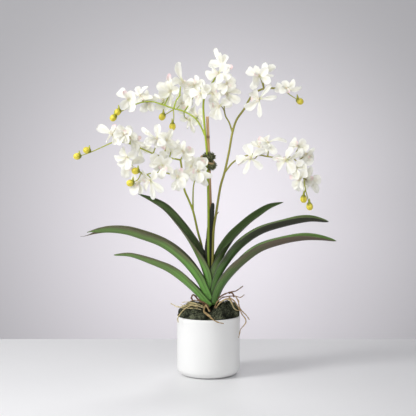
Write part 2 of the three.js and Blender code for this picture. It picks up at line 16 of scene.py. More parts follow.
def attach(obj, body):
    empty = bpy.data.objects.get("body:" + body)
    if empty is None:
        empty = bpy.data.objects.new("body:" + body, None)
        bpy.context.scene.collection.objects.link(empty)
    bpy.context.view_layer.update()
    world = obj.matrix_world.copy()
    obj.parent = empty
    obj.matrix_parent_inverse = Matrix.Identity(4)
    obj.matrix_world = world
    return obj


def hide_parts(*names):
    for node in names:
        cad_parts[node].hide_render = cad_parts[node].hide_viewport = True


MM = 0.001
SEED = 7
UP = Vector((0, 0, 1))
BACK = Vector((0, 1, 0))

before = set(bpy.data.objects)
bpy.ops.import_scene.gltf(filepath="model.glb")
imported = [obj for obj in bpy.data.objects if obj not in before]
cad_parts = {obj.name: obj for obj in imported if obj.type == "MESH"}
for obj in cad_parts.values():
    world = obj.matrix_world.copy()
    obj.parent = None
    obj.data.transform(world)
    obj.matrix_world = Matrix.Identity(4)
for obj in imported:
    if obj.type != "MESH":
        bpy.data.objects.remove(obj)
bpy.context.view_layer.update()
dice = random.Random(SEED)
print("frame nodes:", len(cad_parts))

# %% [markdown]
# ## Camera
#
# A long lens two metres away keeps the pot's sides nearly upright, as in a catalogue
# picture. The camera looks slightly down, so the rim of the pot shows as a thin ellipse.
# A pitch and a height are easier to reason about here than a target that is tracked.

# %% Make the camera
CAMERA_PLACE = Vector((-0.8, -2000, 443)) * MM
CAMERA_PITCH = math.radians(3.65)
CAMERA_LENS = 92.16

camera_data = bpy.data.cameras.new("camera")
camera_data.lens = CAMERA_LENS
camera = bpy.data.objects.new("camera", camera_data)
camera.location = CAMERA_PLACE
camera.rotation_euler = (math.radians(90) - CAMERA_PITCH, 0, 0)
bpy.context.scene.collection.objects.link(camera)
bpy.context.scene.camera = camera
print("camera looks down by", round(math.degrees(CAMERA_PITCH), 2), "degrees")

# %% [markdown]
# ## Shader maths as Python
#
# A material is a network of nodes. Writing each node by hand hides the idea, so one small
# class wraps a socket and lets plus, minus, times and abs add the Math nodes. A second
# class makes the material, and its one method adds any other node. Then a mask reads like
# ordinary arithmetic, and 1 - mask works as well. Colours are written as a picture shows
# them, which is easier to match by eye, and a small function makes them linear.

# %% Wrap a socket
class Wire:
    """The output of a node. Arithmetic on it adds Math nodes to the same material."""

    def __init__(self, finish, socket):
        self.finish = finish
        self.socket = socket

    def math(self, operation, *values):
        return self.finish.node("ShaderNodeMath", {"operation": operation}, dict(enumerate(values)))

    def __add__(self, other):
        return self.math("ADD", self, other)

    def __sub__(self, other):
        return self.math("SUBTRACT", self, other)

    def __rsub__(self, other):
        return self.math("SUBTRACT", other, self)

    def __mul__(self, other):
        return self.math("MULTIPLY", self, other)

    def __abs__(self):
        return self.math("ABSOLUTE", self)

    __radd__ = __add__
    __rmul__ = __mul__

    def between(self, low, high):
        """A smooth step from 0 at low to 1 at high, which may be the smaller of the two."""
        values = {"Value": self, "From Min": low, "From Max": high}
        return self.finish.node("ShaderNodeMapRange", {"interpolation_type": "SMOOTHSTEP"}, values)


print("arithmetic on a wire adds Math nodes")

# %% Make a picture's colour linear
FULL_LEVEL = 255
DARK_END = 0.04045
DARK_SLOPE = 12.92
SRGB_OFFSET = 0.055
SRGB_POWER = 2.4

def linear(level):
    """One channel of a colour, 0 to 255 in a picture, by the sRGB curve."""
    share = level / FULL_LEVEL
    if share <= DARK_END:
        return share / DARK_SLOPE
    return ((share + SRGB_OFFSET) / (1 + SRGB_OFFSET)) ** SRGB_POWER


def colour(red, green, blue):
    return (linear(red), linear(green), linear(blue), 1)


print("a level of 128 is", round(linear(128), 3), "of full light")

# %% Wrap a material
MIX_MASK, MIX_FIRST, MIX_SECOND, MIX_RESULT = 0, 6, 7, 2

class Finish:
    """A material, its Principled shader and the nodes that feed it."""

    def __init__(self, name):
        self.material = bpy.data.materials.new(name)
        self.material.use_nodes = True
        self.tree = self.material.node_tree
        self.shader = self.tree.nodes["Principled BSDF"]
        self.output = self.tree.nodes["Material Output"]

    def feed(self, socket, value):
        if isinstance(value, Wire):
            self.tree.links.new(value.socket, socket)
        else:
            socket.default_value = value

    def node(self, kind, settings=None, values=None, output=0):
        made = self.tree.nodes.new(kind)
        for setting, value in (settings or {}).items():
            if setting == "stops":
                self.set_stops(made.color_ramp.elements, value)
            else:
                setattr(made, setting, value)
        for name, value in (values or {}).items():
            self.feed(made.inputs[name], value)
        return Wire(self, made.outputs[output])

    def set_stops(self, elements, stops):
        while len(elements) < len(stops):
            elements.new(1)
        for element, (position, shade) in zip(elements, stops):
            element.position = position
            element.color = shade

    def set(self, **values):
        """Sets the Principled shader's sockets, so base_color stands for Base Color."""
        for name, value in values.items():
            socket = name.replace("_", " ").title().replace("Ior", "IOR")
            self.feed(self.shader.inputs[socket], value)

    def place(self):
        """The place on the object, in metres."""
        return self.node("ShaderNodeTexCoord", output="Object")

    def mark(self, name):
        """The three numbers that a piece's vertices carry under this name."""
        parts = self.node("ShaderNodeAttribute", {"attribute_name": name}, output="Vector")
        split = self.node("ShaderNodeSeparateXYZ", values={0: parts})
        outputs = split.socket.node.outputs
        return [Wire(self, outputs[axis]) for axis in range(3)]

    def vector(self, x, y, z):
        return self.node("ShaderNodeCombineXYZ", values={0: x, 1: y, 2: z})

    def grain(self, where, scale, detail=2.0, roughness=0.5):
        values = {"Vector": where, "Scale": scale, "Detail": detail, "Roughness": roughness}
        return self.node("ShaderNodeTexNoise", values=values)

    def streaks(self, scale):
        """Noise with a scale of its own on each axis, as in fibres that run upright."""
        stretched = self.node("ShaderNodeMapping", values={0: self.place(), "Scale": scale})
        return self.grain(stretched, scale=1.0)

    def mix(self, mask, first, second):
        """A blend of two colours. Sockets of a Mix node share names, so they go by number."""
        values = {MIX_MASK: mask, MIX_FIRST: first, MIX_SECOND: second}
        return self.node("ShaderNodeMix", {"data_type": "RGBA"}, values, output=MIX_RESULT)

    def ramp(self, value, *stops):
        return self.node("ShaderNodeValToRGB", {"stops": stops}, {0: value})

    def bump(self, height, distance, strength=1.0):
        values = {"Height": height, "Distance": distance, "Strength": strength}
        self.feed(self.shader.inputs["Normal"], self.node("ShaderNodeBump", values=values))

    def let_light_through(self, tint, share):
        """Mixes in light that passes through from the other side, as in a thin petal."""
        plain = Wire(self, self.shader.outputs[0])
        through = self.node("ShaderNodeBsdfTranslucent", values={"Color": tint})
        both = self.node("ShaderNodeMixShader", values={0: share, 1: plain, 2: through})
        self.feed(self.output.inputs["Surface"], both)


print("a finish is a material whose nodes are added by one method")

# %% [markdown]
# ## Floor and backdrop
#
# The plant stands on a pale table in front of a plain grey wall. The table ends a little
# behind the pot, and the wall hangs behind it with a pool of painted light low down. The
# table could be a picture of stone, but its veins hardly show, so a faint cloud of noise is enough.

# %% Make the stage
TABLE_BACK = 353
TABLE_LOW = (-1500, -1700, -30)
TABLE_HIGH = (1500, TABLE_BACK, 0)
TABLE_SHADES = colour(232, 232, 233), colour(240, 240, 240)
WALL_BACK = 1500
WALL_LOW = (-2200, WALL_BACK, -1400)
WALL_HIGH = (2200, WALL_BACK + 30, 2000)
# the wall's colour holds a pool of painted light: pale near a spot low down behind the plant, greyer
# further from it
WALL_PAINTED_LIGHT_SHADES = colour(255, 250, 255), colour(191, 190, 192)
WALL_PAINTED_LIGHT_PLACE = Vector((-20, WALL_BACK, 60)) * MM
WALL_PAINTED_LIGHT_FADE = (0.0, 1.05)
BOX_SIDES = [(0, 1, 3, 2), (4, 6, 7, 5), (0, 4, 5, 1), (2, 3, 7, 6), (0, 2, 6, 4), (1, 5, 7, 3)]

def stage_box(name, low, high, finish):
    """A box between two corners, in millimetres, for the room round the plant."""
    (x0, y0, z0), (x1, y1, z1) = low, high
    corners = [Vector((x, y, z)) * MM for x in (x0, x1) for y in (y0, y1) for z in (z0, z1)]
    mesh = bpy.data.meshes.new(name)
    mesh.from_pydata(corners, [], BOX_SIDES)
    mesh.materials.append(finish.material)
    made = bpy.data.objects.new(name, mesh)
    bpy.context.scene.collection.objects.link(made)


table_finish = Finish("table_top")
cloud = table_finish.grain(table_finish.place(), scale=3.0, detail=4.0)
table_colour = table_finish.mix(cloud, *TABLE_SHADES)
table_finish.set(base_color=table_colour, roughness=0.42, specular_ior_level=0.35)
stage_box("table", TABLE_LOW, TABLE_HIGH, table_finish)

wall_finish = Finish("backdrop")
# painted light: the wall is paler the nearer it lies to that spot
from_painted_light = wall_finish.node("ShaderNodeVectorMath", {"operation": "DISTANCE"},
                               {0: wall_finish.place(), 1: WALL_PAINTED_LIGHT_PLACE}, output=1)
wall_with_painted_light = wall_finish.mix(from_painted_light.between(*WALL_PAINTED_LIGHT_FADE), *WALL_PAINTED_LIGHT_SHADES)
wall_finish.set(base_color=wall_with_painted_light, roughness=0.9)
stage_box("wall", WALL_LOW, WALL_HIGH, wall_finish)
print("the table ends", TABLE_BACK, "mm behind the pot's middle")

# %% [markdown]
# ## Lamps
#
# Five soft, round lamps light the plant. The key lamp at the left makes the pot bright on
# that side and throws its shadow to the right, and a weak one in front fills what faces the
# camera. Two narrow ones are for the petals, one from the front and one from behind that
# shines through them. The last washes the wall. A bright world fills the shade, as white
# walls would, and it costs less than real walls.

# %% Set the lamps
# name: (place, aim, size, power, spread of the beam in degrees)
LIGHTS = {
    "key": ((-1400, -760, 1250), (0, 0, 250), 700, 22, 180),
    "front": ((-300, -2200, 1500), (0, 0, 450), 900, 7, 180),
    "petal_fill": ((-600, -1800, 900), (0, 0, 510), 300, 0.18, 26),
    "petal_glow": ((250, 900, 1250), (0, 0, 540), 500, 0.42, 36),
    "wall_wash": ((160, 560, 420), (160, WALL_BACK, 100), 800, 2.3, 180),
}
WORLD_COLOUR = colour(236, 236, 240)
WORLD_STRENGTH = 0.55

def soft_lamp(name, place, aim, size, power, spread):
    """A round lamp that the camera doesn't see. Places and size are in millimetres."""
    data = bpy.data.lights.new(name, "AREA")
    data.shape = "DISK"
    data.size = size * MM
    data.energy = power
    data.spread = math.radians(spread)
    lamp = bpy.data.objects.new(name, data)
    lamp.visible_camera = False
    lamp.location = Vector(place) * MM
    lamp.rotation_euler = (Vector(aim) - Vector(place)).to_track_quat("-Z", "Y").to_euler()
    bpy.context.scene.collection.objects.link(lamp)


for lamp_name, lamp in LIGHTS.items():
    soft_lamp(lamp_name, *lamp)

bpy.context.scene.view_settings.view_transform = "Standard"
world = bpy.data.worlds.new("studio")
world.use_nodes = True
background = world.node_tree.nodes["Background"].inputs
background["Color"].default_value = WORLD_COLOUR
background["Strength"].default_value = WORLD_STRENGTH
bpy.context.scene.world = world
print("lamps:", ", ".join(LIGHTS))

# %% [markdown]
# ## Lines, tubes and sheets
#
# A plant is mostly long thin things. Each one starts as a few points, and a smooth line is
# drawn through them, close together where they are close. A tube is a row of rings along
# such a line, and a leaf or petal is a grid of points with a little thickness. Building
# the meshes in code keeps their ends closed and lets every vertex carry marks, such as how
# far along the leaf it lies, which the finishes read.

# %% Blend, step and turn
def smooth_step(value, low, high):
    """0 up to low, 1 from high on and a smooth rise between them."""
    share = min(1.0, max(0.0, (value - low) / (high - low)))
    return share * share * (3 - 2 * share)


def blend(pair, share):
    return pair[0] + (pair[1] - pair[0]) * share


def taper(pair):
    """A radius that goes evenly from the first of a pair to the second along a tube."""
    return lambda share: blend(pair, share)


def turns(count):
    """The angles of places that are evenly spaced round a circle."""
    return [2 * math.pi * index / count for index in range(count)]


def round_place(reach, turn, level):
    """The place at a distance and a turn from the upright axis."""
    return Vector((reach * math.cos(turn), reach * math.sin(turn), level))


print("halfway from 1 to 3 is", blend((1, 3), 0.5))

# %% Draw a smooth line through points
CURVE_STEPS = 12
KNOT_POWER = 0.5
TINY = 1e-9

def smooth_line(points, count):
    """count evenly spaced places on the smooth curve through points, in metres."""
    knots = [Vector(point) * MM for point in points]
    ends = [2 * knots[0] - knots[1], *knots, 2 * knots[-1] - knots[-2]]
    fine = []
    for before, start, end, after in zip(ends, ends[1:], ends[2:], ends[3:]):
        at_start = (start - before).length ** KNOT_POWER
        at_end = at_start + (end - start).length ** KNOT_POWER
        at_after = at_end + (after - end).length ** KNOT_POWER
        for step in range(CURVE_STEPS):
            now = at_start + (at_end - at_start) * step / CURVE_STEPS
            share = (now - at_start) / (at_end - at_start)
            into = before.lerp(start, now / at_start)
            along = start.lerp(end, share)
            out = end.lerp(after, (now - at_end) / (at_after - at_end))
            early = into.lerp(along, now / at_end)
            late = along.lerp(out, (now - at_start) / (at_after - at_start))
            fine.append(early.lerp(late, share))
    fine.append(knots[-1])
    return spaced(fine, count)


def spaced(fine, count):
    """The same broken line as count places at equal distances along it."""
    runs = [0.0]
    for start, end in zip(fine, fine[1:]):
        runs.append(runs[-1] + (end - start).length)
    places = []
    step = 0
    for index in range(count):
        run = runs[-1] * index / (count - 1)
        while step < len(fine) - 2 and runs[step + 1] < run:
            step += 1
        share = (run - runs[step]) / max(runs[step + 1] - runs[step], TINY)
        places.append(fine[step].lerp(fine[step + 1], min(share, 1)))
    return places


print("a curve takes", CURVE_STEPS, "steps between two points")

# %% Gather vertices and faces
class Shell:
    """Vertices and faces of one piece, with a mark of three numbers on each vertex."""

    def __init__(self):
        self.places = []
        self.marks = []
        self.faces = []
        self.slots = []

    def add(self, place, mark=(0, 0, 0)):
        self.places.append(place)
        self.marks.append(mark)
        return len(self.places) - 1

    def face(self, corners, slot=0):
        self.faces.append(corners)
        self.slots.append(slot)

    def take(self, other, turn, shift, mark_at):
        """Adds another shell, turned and shifted; mark_at gives the mark of each place."""
        first = len(self.places)
        for place in other.places:
            self.add(turn @ place + shift, mark_at(place))
        for corners in other.faces:
            self.face(tuple(first + corner for corner in corners))

    def skin(self, rings, sides, flip=False):
        """Faces between neighbouring rings. A ring of one place closes an end."""
        for near, far in zip(rings, rings[1:]):
            for side in range(sides):
                a, b = near[side % len(near)], near[(side + 1) % len(near)]
                d, c = far[side % len(far)], far[(side + 1) % len(far)]
                corners = (a, d, c, b) if flip else (a, b, c, d)
                self.face(tuple(dict.fromkeys(corners)))

    def tube(self, line, radius_at, sides=8, mark=(0, 0, 0)):
        """A closed tube; radius_at gives its radius in millimetres from 0 to 1 along it."""
        rings = []
        for index, (place, (aside, up)) in enumerate(zip(line, across_of(line))):
            share = index / (len(line) - 1)
            radius = radius_at(share) * MM
            spokes = [radius * (math.cos(turn) * aside + math.sin(turn) * up) for turn in turns(sides)]
            rings.append([self.add(place + spoke, (share, *mark[1:])) for spoke in spokes])
        start = self.add(line[0], (0, *mark[1:]))
        end = self.add(line[-1], (1, *mark[1:]))
        self.skin([[start], *rings, [end]], sides)

    def sheet(self, grid, marks, thickness_at, slots=(0, 0)):
        """A closed thin sheet round a grid of places; slots are those of its two faces."""
        rows, columns = len(grid), len(grid[0])
        upper, lower = [], []
        for row in range(rows):
            upper.append([])
            lower.append([])
            for column in range(columns):
                half = 0.5 * thickness_at(row / (rows - 1), 2 * column / (columns - 1) - 1) * MM
                offset = half * normal_of(grid, row, column)
                upper[-1].append(self.add(grid[row][column] + offset, marks[row][column]))
                lower[-1].append(self.add(grid[row][column] - offset, marks[row][column]))
        for corners in cells(upper):
            self.face(corners, slots[0])
        for a, b, c, d in cells(lower):
            self.face((a, d, c, b), slots[1])
        rim_up, rim_low = edge_of(upper), edge_of(lower)
        for a, b, c, d in zip(rim_up, rim_up[1:] + rim_up[:1], rim_low[1:] + rim_low[:1], rim_low):
            self.face((b, a, d, c), slots[1])


print("a shell grows by skins, tubes and sheets")

# %% Find cells, edges, normals and sides
NO_AREA = 1e-12
NEARLY_UPRIGHT = 0.9

def cells(rows):
    """The four corners of each cell of a grid, in order round it."""
    for near, far in zip(rows, rows[1:]):
        yield from zip(near, near[1:], far[1:], far)


def edge_of(rows):
    """The places round the rim of a grid, in order."""
    first, last = rows[0], rows[-1]
    right = [row[-1] for row in rows[1:-1]]
    left = [row[0] for row in rows[1:-1]]
    return first + right + last[::-1] + left[::-1]


def normal_of(grid, row, column):
    """The unit normal of a grid of places at a row and a column."""
    rows, columns = len(grid), len(grid[0])
    along = grid[min(row + 1, rows - 1)][column] - grid[max(row - 1, 0)][column]
    across = grid[row][min(column + 1, columns - 1)] - grid[row][max(column - 1, 0)]
    normal = across.cross(along)
    if normal.length < NO_AREA:
        before = grid[max(row - 1, 0)]
        normal = (before[-1] - before[0]).cross(along)
    return normal.normalized()


def across_of(line):
    """For each place on a line, two unit directions square to it that turn with it smoothly."""
    frames = []
    side = None
    for index in range(len(line)):
        along = (line[min(index + 1, len(line) - 1)] - line[max(index - 1, 0)]).normalized()
        if side is None:
            side = along.cross(UP if abs(along.z) < NEARLY_UPRIGHT else BACK)
        side = (side - side.dot(along) * along).normalized()
        frames.append((side, along.cross(side)))
    return frames


print("the rim of a 3 by 3 grid has", len(edge_of([[0] * 3] * 3)), "places")

# %% Turn a shell into a piece
def make_piece(name, shell, finishes, nodes):
    """Turns a shell into an object that stands for the given CAD nodes."""
    mesh = bpy.data.meshes.new(name)
    mesh.from_pydata(shell.places, [], shell.faces)
    marks = mesh.attributes.new("mark", "FLOAT_VECTOR", "POINT")
    marks.data.foreach_set("vector", [number for mark in shell.marks for number in mark])
    for finish in finishes:
        mesh.materials.append(finish.material)
    mesh.polygons.foreach_set("material_index", shell.slots)
    mesh.shade_smooth()
    made = bpy.data.objects.new(name, mesh)
    bpy.context.scene.collection.objects.link(made)
    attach(made, "root")
    if nodes:
        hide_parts(*nodes)
    return made


print("every piece rides on the root and stands for its CAD nodes")

# %% [markdown]
# ## The pot
#
# The pot is a thrown cylinder with a rounded foot and a thin, soft rim, under a smooth white
# glaze. It could be a cylinder with bevels, but its outline is all that matters, so the
# outline is written as radius and height and turned round the axis. The glaze is nearly
# white with a faint drift of tone, and its gloss is soft.

# %% Turn an outline round the axis
def lathe(shell, outline, sides, wobble=lambda turn: 0):
    """Turns (radius, height) points in millimetres; a radius of 0 closes an end."""
    rings = []
    for radius, level in outline:
        ring = []
        for turn in turns(sides if radius else 1):
            reach = radius + wobble(turn) if radius else 0
            ring.append(shell.add(round_place(reach, turn, level) * MM))
        rings.append(ring)
    shell.skin(rings, sides)


def arc(middle, radius, start, end, steps):
    """Points of an arc in the outline's plane, from start to end degrees."""
    points = []
    for step in range(steps + 1):
        angle = math.radians(start + (end - start) * step / steps)
        points.append((middle[0] + radius * math.cos(angle), middle[1] + radius * math.sin(angle)))
    return points


print("an arc of 10 steps has", len(arc((0, 0), 1, 0, 90, 10)), "points")

# %% Draw the pot's outline
POT_RADIUS = 60
POT_HEIGHT = 112
POT_WALL = 5
POT_FLOOR = 7
POT_SIDES = 128
CORNER_RADIUS = 17
CORNER_STEPS = 10
CORNER_ARC = (-90, -20)
FOOT_LIFT = 1.2
FOOT_HOLLOW = 4
FOOT_RING = 2.5
BODY_RADIUS = 59.5
BODY_FOOT = 16
BODY_STEPS = 6
BAND_LEVEL = 101
BAND_RISE = 1.5
RIM_RADIUS = 2.2
RIM_ARC = (0, 180)
RIM_DEPTH = 8

pot_inside = POT_RADIUS - POT_WALL
pot_corner = POT_RADIUS - CORNER_RADIUS
body_levels = [blend((CORNER_RADIUS, BAND_LEVEL), step / BODY_STEPS) for step in range(BODY_STEPS + 1)]
pot_outline = [
    (0, FOOT_LIFT),
    (pot_corner - FOOT_HOLLOW, FOOT_LIFT),
    (pot_corner - FOOT_RING, 0),
    *arc((pot_corner, CORNER_RADIUS), CORNER_RADIUS, *CORNER_ARC, CORNER_STEPS),
    (BODY_RADIUS, BODY_FOOT),
    *[(BODY_RADIUS, level) for level in body_levels],
    (POT_RADIUS, BAND_LEVEL + BAND_RISE),
    *arc((POT_RADIUS - RIM_RADIUS, POT_HEIGHT - RIM_RADIUS), RIM_RADIUS, *RIM_ARC, CORNER_STEPS),
    (pot_inside, POT_HEIGHT - RIM_DEPTH),
    (pot_inside, CORNER_RADIUS + POT_FLOOR),
    (pot_inside - CORNER_RADIUS, POT_FLOOR),
    (0, POT_FLOOR),
]
print("pot outline has", len(pot_outline), "points")

# %% Make the pot
GLAZE_SHADES = colour(238, 238, 236), colour(247, 247, 245)

glaze = Finish("white_glaze")
drift = glaze.grain(glaze.place(), scale=9.0, detail=3.0)
glaze.set(base_color=glaze.mix(drift, *GLAZE_SHADES))
glaze.set(roughness=0.26 + 0.1 * drift, coat_weight=0.25, coat_roughness=0.2)
glaze.bump(glaze.grain(glaze.place(), scale=30.0, detail=1.0), distance=0.0004, strength=0.15)

pot_shell = Shell()
lathe(pot_shell, pot_outline, POT_SIDES)
make_piece("glazed_pot", pot_shell, [glaze], ["pot"])
print("the pot has", len(pot_shell.faces), "faces")

# %% [markdown]
# ## Moss
#
# Cushion moss fills the mouth of the pot. On the real plant it is made of soft knobs, greyer
# on the tips; here the dips between them get painted shade. A particle system would be the usual
# way, but plain mesh keeps its shape in any program. So a dome of rings is pushed outward by round
# cells of noise, and then by a finer crumble, and short curled shoots stand on it.

# %% Shape the moss
MIX_TOP = 95
MOSS_MIDDLE = 123
MOSS_EDGE = POT_HEIGHT + 4
MOSS_REACH = 58.5
MOSS_BROW = 46
MOSS_LIMIT = 59
MOSS_LIFT = 0.3
# each tuft: (x, y, rise, spread)
TUFTS = [(-32, 10, 13, 15), (40, 6, 15, 13), (10, 40, 12, 16), (-24, -38, 4, 12), (26, -34, 5, 12)]
EDGE_DROP = 3.5
CLUMP_SIZE = 15
CLUMP_HEIGHT = 8
CLUMP_LEVEL = 0.45
CLUMP_CURVE = 1.4
CRUMB_SIZE = 2.4
CRUMB_HEIGHT = 2.4
CRUMB_LEVEL = 0.5
CRUMB_NOISE = (0.8, 2.1, 3)

def moss_height(x, y):
    """The smooth mound of the moss at a place, in millimetres."""
    outward = math.hypot(x, y) / POT_RADIUS
    mound = MOSS_EDGE + (MOSS_MIDDLE - MOSS_EDGE) * (1 - outward ** 4)
    return mound + sum(rise * math.exp(-((x - tx) ** 2 + (y - ty) ** 2) / (2 * spread ** 2))
                       for tx, ty, rise, spread in TUFTS)


def moss_drop(reach):
    """0 on the mound, rising to 1 at its edge, where the moss falls away to the rim."""
    return max(0.0, (reach - MOSS_BROW) / (MOSS_REACH - MOSS_BROW)) ** 3


def moss_swell(place):
    """How high a place lies on its clump and on its crumb, each from about 0 to 1."""
    nearest = noise.voronoi(place / CLUMP_SIZE)[0][0]
    clump = max(0.0, 1 - CLUMP_CURVE * nearest * nearest)
    crumb = 0.5 + 0.5 * noise.fractal(place / CRUMB_SIZE, *CRUMB_NOISE)
    return clump, crumb


print("the mound is", round(moss_height(0, 0)), "mm high in the middle")

# %% Make the moss bed
MOSS_RINGS = 64
MOSS_TURNS = 200
TUCK_START = 0.9
TUCK_SPAN = 0.1
TUCK_DROP = 6
# radius and height of the rings under the mound
MOSS_PLUG = [(54, POT_HEIGHT - 1), (54, MIX_TOP + 0.5), (0, MIX_TOP + 0.5)]

def moss_place(reach, angle, tuck):
    """A place on the moss bed, in metres, and its mark."""
    x = reach * math.cos(angle)
    y = reach * math.sin(angle)
    drop = moss_drop(reach)
    base = Vector((x, y, moss_height(x, y) - EDGE_DROP * drop - TUCK_DROP * tuck))
    outward = Vector((x / POT_RADIUS, y / POT_RADIUS, 0)) * (0.4 + 0.5 * drop)
    normal = (Vector((0, 0, 1 - 0.75 * drop)) + outward).normalized()
    clump, crumb = moss_swell(base)
    swell = (clump - CLUMP_LEVEL) * CLUMP_HEIGHT + (crumb - CRUMB_LEVEL) * CRUMB_HEIGHT
    place = base + swell * (1 - tuck) * normal
    outside = math.hypot(place.x, place.y) / MOSS_LIMIT
    if outside > 1:
        place.x /= outside
        place.y /= outside
    place.z = max(place.z, POT_HEIGHT + MOSS_LIFT)
    return place * MM, (clump, crumb, drop)


moss_shell = Shell()
moss_rows = []
for ring in range(MOSS_RINGS + 1):
    share = ring / MOSS_RINGS
    reach = MOSS_REACH * math.sin(0.5 * math.pi * min(1.0, share / TUCK_START))
    tuck = max(0.0, (share - TUCK_START) / TUCK_SPAN)
    angles = turns(MOSS_TURNS if ring else 1)
    moss_rows.append([moss_shell.add(*moss_place(reach, angle, tuck)) for angle in angles])
for reach, level in MOSS_PLUG:
    angles = turns(MOSS_TURNS if reach else 1)
    moss_rows.append([moss_shell.add(round_place(reach, angle, level) * MM) for angle in angles])
moss_shell.skin(moss_rows[::-1], MOSS_TURNS)
print("moss bed:", len(moss_shell.faces), "faces")

# %% Plant short shoots on the moss
SHOOT_COUNT = 1500
SHOOT_LENGTH = (2.0, 4.5)
SHOOT_RADIUS = (0.5, 0.125)
SHOOT_LEAN = ((-1, 1), (-1, 1), (-0.3, 0.6))
SHOOT_BEND = 0.6
SHOOT_TONE = (0.4, 1)
SHOOT_SPREAD = 0.98
SHOOT_EDGE = 55
SHOOT_CLUMP = 0.3
SHOOT_FOOT = 0.5
SHOOT_SPLAY = 0.3

def shoot(shell, foot, outward, tone):
    """A short curled shoot of moss."""
    length = dice.uniform(*SHOOT_LENGTH)
    bend = Vector([dice.uniform(*lean) for lean in SHOOT_LEAN])
    tip = foot + (outward + SHOOT_BEND * bend).normalized() * length
    points = (foot, foot + outward * length * 0.5, tip)
    shell.tube([point * MM for point in points], taper(SHOOT_RADIUS), sides=3, mark=(0, tone, 0))


for _ in range(SHOOT_COUNT):
    reach = MOSS_REACH * math.sqrt(dice.random()) * SHOOT_SPREAD
    angle = dice.uniform(0, 2 * math.pi)
    x = reach * math.cos(angle)
    y = reach * math.sin(angle)
    drop = moss_drop(reach)
    foot = Vector((x, y, moss_height(x, y) - EDGE_DROP * drop))
    clump, _ = moss_swell(foot)
    splay = SHOOT_SPLAY + drop
    outward = Vector((x / POT_RADIUS * splay, y / POT_RADIUS * splay, 1)).normalized()
    if clump > SHOOT_CLUMP and reach < SHOOT_EDGE:
        foot = foot + outward * (clump - SHOOT_FOOT) * CLUMP_HEIGHT
        shoot(moss_shell, foot, outward, dice.uniform(*SHOOT_TONE))
print("moss with shoots:", len(moss_shell.faces), "faces")

# %% Finish the moss
# the darkest shade is painted shade for the dips between clumps and the feet of the shoots; the palest is
# the moss's greyer tips
MOSS_STOPS = (0.08, 0.3, 0.56)
BED_TONES_AND_PAINTED_SHADE = colour(8, 9, 8), colour(44, 48, 36), colour(112, 116, 92)

def moss_of(name, shades):
    """Moss that is greyer on its tips, with painted shade in its dips and at the feet of its shoots."""
    moss = Finish(name)
    clump, crumb, _ = moss.mark("mark")
    speckle = moss.grain(moss.place(), scale=480, detail=4.0, roughness=0.7)
    # painted shade: darker where a place lies low on its clump or near a shoot's foot, with random crumb
    # tone on top
    light = (0.45 * crumb + 0.9 * (speckle - 0.5) + 0.2) * (0.4 + 0.6 * clump)
    moss.set(base_color=moss.ramp(light, *zip(MOSS_STOPS, shades)))
    moss.set(roughness=0.95, specular_ior_level=0.2)
    moss.bump(moss.grain(moss.place(), scale=900, detail=3.0), distance=0.0012)
    return moss


make_piece("moss_bed_soft", moss_shell, [moss_of("cushion_moss", BED_TONES_AND_PAINTED_SHADE)], ["moss_bed"])
print("the moss has", len(MOSS_STOPS), "shades")

# %% [markdown]
# ## What the moss hides
#
# The potting mix and the rootstock hardly show. Their CAD solids have the right shape, so
# they stay as they are and only get a finish: crumbled dark bark for the mix, and a corky
# brown for the rootstock.

# %% Finish the hidden solids
MIX_SHADES = colour(38, 28, 20), colour(86, 64, 46)
ROOTSTOCK_SHADES = colour(74, 54, 36), colour(140, 110, 76)

def bark_finish(name, shades, size):
    """Crumbled bark, with cells of noise and a finer grain over them."""
    bark = Finish(name)
    crumbs = bark.node("ShaderNodeTexVoronoi", values={"Vector": bark.place(), "Scale": size})
    crumble = bark.grain(bark.place(), scale=3 * size, detail=5.0)
    bark.set(base_color=bark.mix(crumble, *shades), roughness=0.9)
    bark.bump(0.6 * crumbs + 0.4 * crumble, distance=0.0015, strength=0.8)
    return bark


def dress(node, finish):
    """Gives a CAD node a new finish and leaves its shape alone."""
    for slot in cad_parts[node].material_slots:
        slot.material = finish.material


dress("potting_mix", bark_finish("loose_bark", MIX_SHADES, size=120))
dress("rootstock", bark_finish("corky_rootstock", ROOTSTOCK_SHADES, size=200))
print("dressed the potting mix and the rootstock")

# %% [markdown]
# ## Leaves
#
# A vanda's leaves stand in two ranks and each is a strap folded into a channel. At its foot
# the fold is square and clasps the leaves inside it, and further out it opens to a shallow
# V. Bending a flat strip with a modifier would lose the fold, so each leaf is a grid: its
# rows follow the leaf's midline and its columns run round the fold from the near edge to
# the far one. The outer face is green and turns brown outward, and the inner face is dark.

